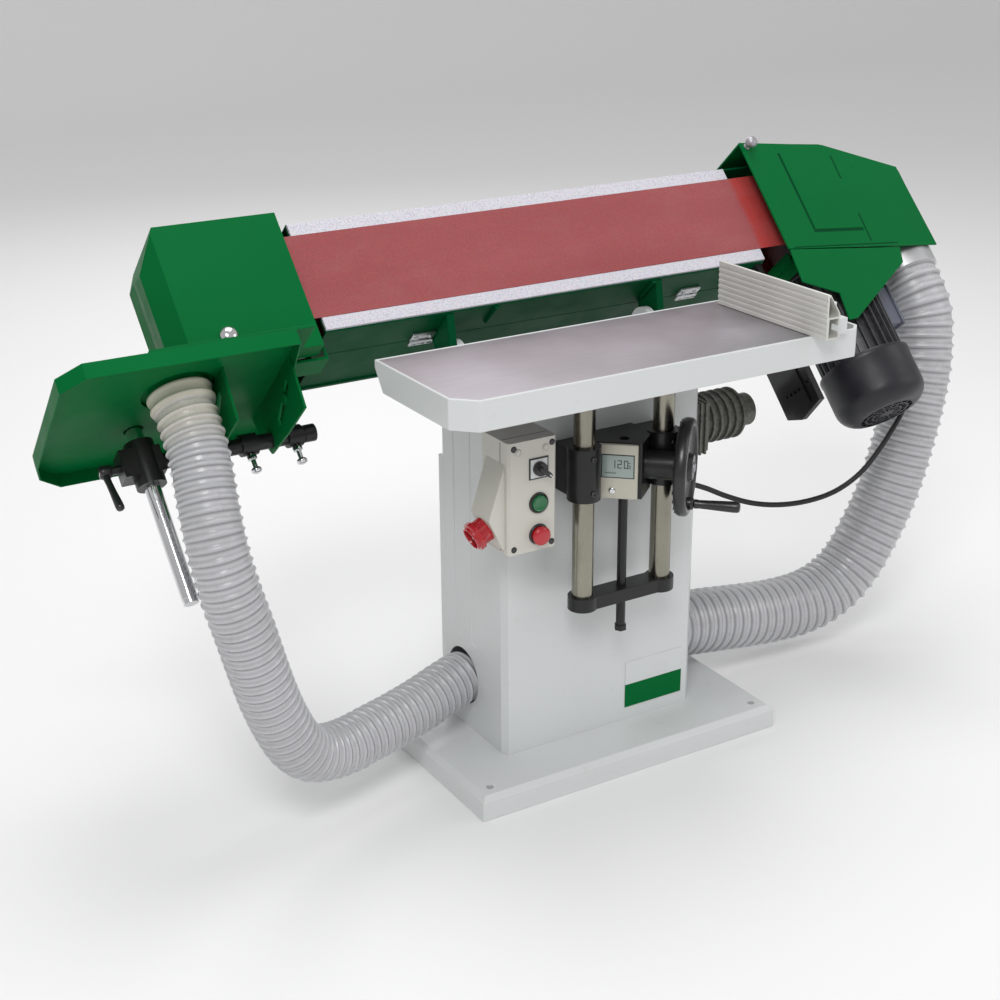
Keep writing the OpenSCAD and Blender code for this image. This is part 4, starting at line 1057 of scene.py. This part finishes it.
def thumb_screws():
    """Two thumb screws under the bar of the auxiliary table."""
    bm = bmesh.new()
    profile = [(0, -0.1740), (0.0050, -0.1738), (0.0082, -0.1720), (0.0090, -0.1695), (0.0082, -0.1668),
               (0.0056, -0.1650), (0.0042, -0.1640), (0.0042, -0.1520), (0.0062, -0.1508), (0.0080, -0.1500),
               (0.0080, -0.1440), (0.0070, -0.1428), (0.0045, -0.1425), (0.0045, -0.1415), (0, -0.1415)]
    for x in THUMB_XS:
        head_lathe(bm, x, 0, ROD_N, profile, 32)
    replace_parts(finish_piece(bm, "thumb_screws", "aux_table", M["chrome"], smooth=50), "bar_screws")


def clamping_lever():
    """Lever with a hub and a tapered arm, on the clamp block."""
    bm = bmesh.new()
    hub = HEAD @ along_x(LEVER_X, LEVER_W, ROD_N)
    add_lathe(bm, [(0, -0.0320), (0.0060, -0.0320), (0.0095, -0.0308), (0.0110, -0.0280), (0.0110, -0.0160),
                   (0.0100, -0.0142), (0.0070, -0.0138), (0.0066, 0.0006), (0, 0.0006)], hub, 40)
    add_lathe(bm, [(0, -0.0328), (0.0036, -0.0328), (0.0042, -0.0318), (0, -0.0318)], hub, 24, 1)
    pivot = HEAD @ Matrix.Translation((LEVER_X, LEVER_W, ROD_N))
    arm = pivot @ Matrix.Rotation(math.radians(-18), 4, "X") @ Matrix.Translation((-0.024, 0, 0)) @ W_AXIS
    add_lathe(bm, [(0, -0.0780), (0.0036, -0.0778), (0.0060, -0.0762), (0.0068, -0.0730), (0.0066, -0.0640),
                   (0.0056, -0.0420), (0.0052, -0.0240), (0.0056, -0.0120), (0.0066, -0.0040), (0.0050, 0.0),
                   (0, 0.0)], arm, 32)
    lever = finish_piece(bm, "clamping_lever", "clamp_lever", [M["black_plastic"], M["chrome"]], smooth=50)
    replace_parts(lever, "clamp_lever")


# the suction nozzle's axis and the left cover's stud, in the head's frame
NOZZLE_X, NOZZLE_N = -0.690, -0.040
STUD_PLACE = (-0.602, -0.010, 0.0083)


def cuff_ring():
    """Cream cuff with two beads on the nozzle."""
    bm = bmesh.new()
    profile = [(0.0461, -0.0680), (0.0500, -0.0680), (0.0510, -0.0700), (0.0510, -0.0720), (0.0496, -0.0745),
               (0.0484, -0.0790), (0.0482, -0.0840), (0.0492, -0.0865), (0.0510, -0.0882), (0.0508, -0.0905),
               (0.0490, -0.0925), (0.0482, -0.0958), (0.0461, -0.0960), (0.0461, -0.0680)]
    head_lathe(bm, NOZZLE_X, 0, NOZZLE_N, profile, 72)
    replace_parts(finish_piece(bm, "cream_cuff_ring", "head", INNER_CREAM, smooth=60), "left_cuff")


def dome_nut():
    """Dome nut of the left cover, on its washer and stud."""
    bm = bmesh.new()
    place = HEAD @ Matrix.Translation(STUD_PLACE)
    add_lathe(bm, [(0, -0.020), (0.0038, -0.020), (0.0038, 0.0), (0.0148, 0.0), (0.0150, 0.0008),
                   (0.0150, 0.0026), (0.0146, 0.0032), (0.0136, 0.0046), (0.0118, 0.0070), (0.0094, 0.0089),
                   (0.0064, 0.0102), (0.0032, 0.0108), (0, 0.0110)], place, 48)
    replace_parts(finish_piece(bm, "dome_nut", "cover_knob", M["chrome"], smooth=60), "cover_knob")


def two_tone_plate():
    """Plate on the stand's front, white above and green below."""
    low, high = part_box("front_plate")
    middle = (low.z + high.z) / 2
    bm = bmesh.new()
    local_box(bm, (low.x, low.y, middle), (high.x, high.y, high.z), Matrix(), 0, 0.0004, 1)
    local_box(bm, (low.x, low.y, low.z), (high.x, high.y, middle), Matrix(), 1, 0.0004, 1)
    plate = finish_piece(bm, "two_tone_plate", "stand", [M["white_paint"], M["green_paint"]])
    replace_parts(plate, "front_plate")


def panel_screws():
    """Two columns of screws in the back panel."""
    bm = bmesh.new()
    low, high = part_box("rear_panel")
    inset, nearer_middle, panel_t = 0.0105, 0.985, 0.004
    for x in (low.x + inset, high.x - inset):
        for z in (0.060, 0.085, 0.560, 0.610, 0.660):
            face = Matrix.Translation((x * nearer_middle, low.y + panel_t, z))
            cap_screw(bm, face @ W_AXIS, 0.0055, 0.0035)
    finish_piece(bm, "rear_panel_screws", "stand", STEEL_DARK)


def gearbox_bolts():
    """Bolts in the flange of the tilt gearbox, and a ring of them in its end cover."""
    bm = bmesh.new()
    flange_x, cover_x, axis_y, axis_z, ring_r = 0.2080, 0.3459, -0.056, 0.546, 0.035
    for y in (-0.098, -0.010):
        for z in (0.504, 0.584):
            hex_bolt(bm, along_x(flange_x, y, z), 0.0062, 0.0045)
    for k in range(6):
        a = math.pi / 3 * k
        place = along_x(cover_x, axis_y + ring_r * math.cos(a), axis_z + ring_r * math.sin(a))
        hex_bolt(bm, place, 0.0042, 0.0030)
    finish_piece(bm, "gearbox_bolts", "stand", STEEL_DARK)


def bracket_screws():
    """Four screws in the front of the lift bracket."""
    bm = bmesh.new()
    for x in (-0.088, 0.070):
        for z in (0.535, 0.594):
            cap_screw(bm, front_frame(x, -0.2429, z), 0.0045, 0.0030)
    finish_piece(bm, "bracket_grub_screws", "stand", STEEL_DARK)


for make in (selector_plate, box_screws, button_bezels, lid_seam, push_buttons, selector, mains_inlet,
             depth_readout, handwheel, revolving_handle, fan_cover, terminal_box, cable_gland, cable_grommet,
             motor_end_ring, hood_knob, hood_fold_shadows, hinges, thumb_screws, clamping_lever, cuff_ring, dome_nut,
             two_tone_plate, panel_screws, gearbox_bolts, bracket_screws):
    make()
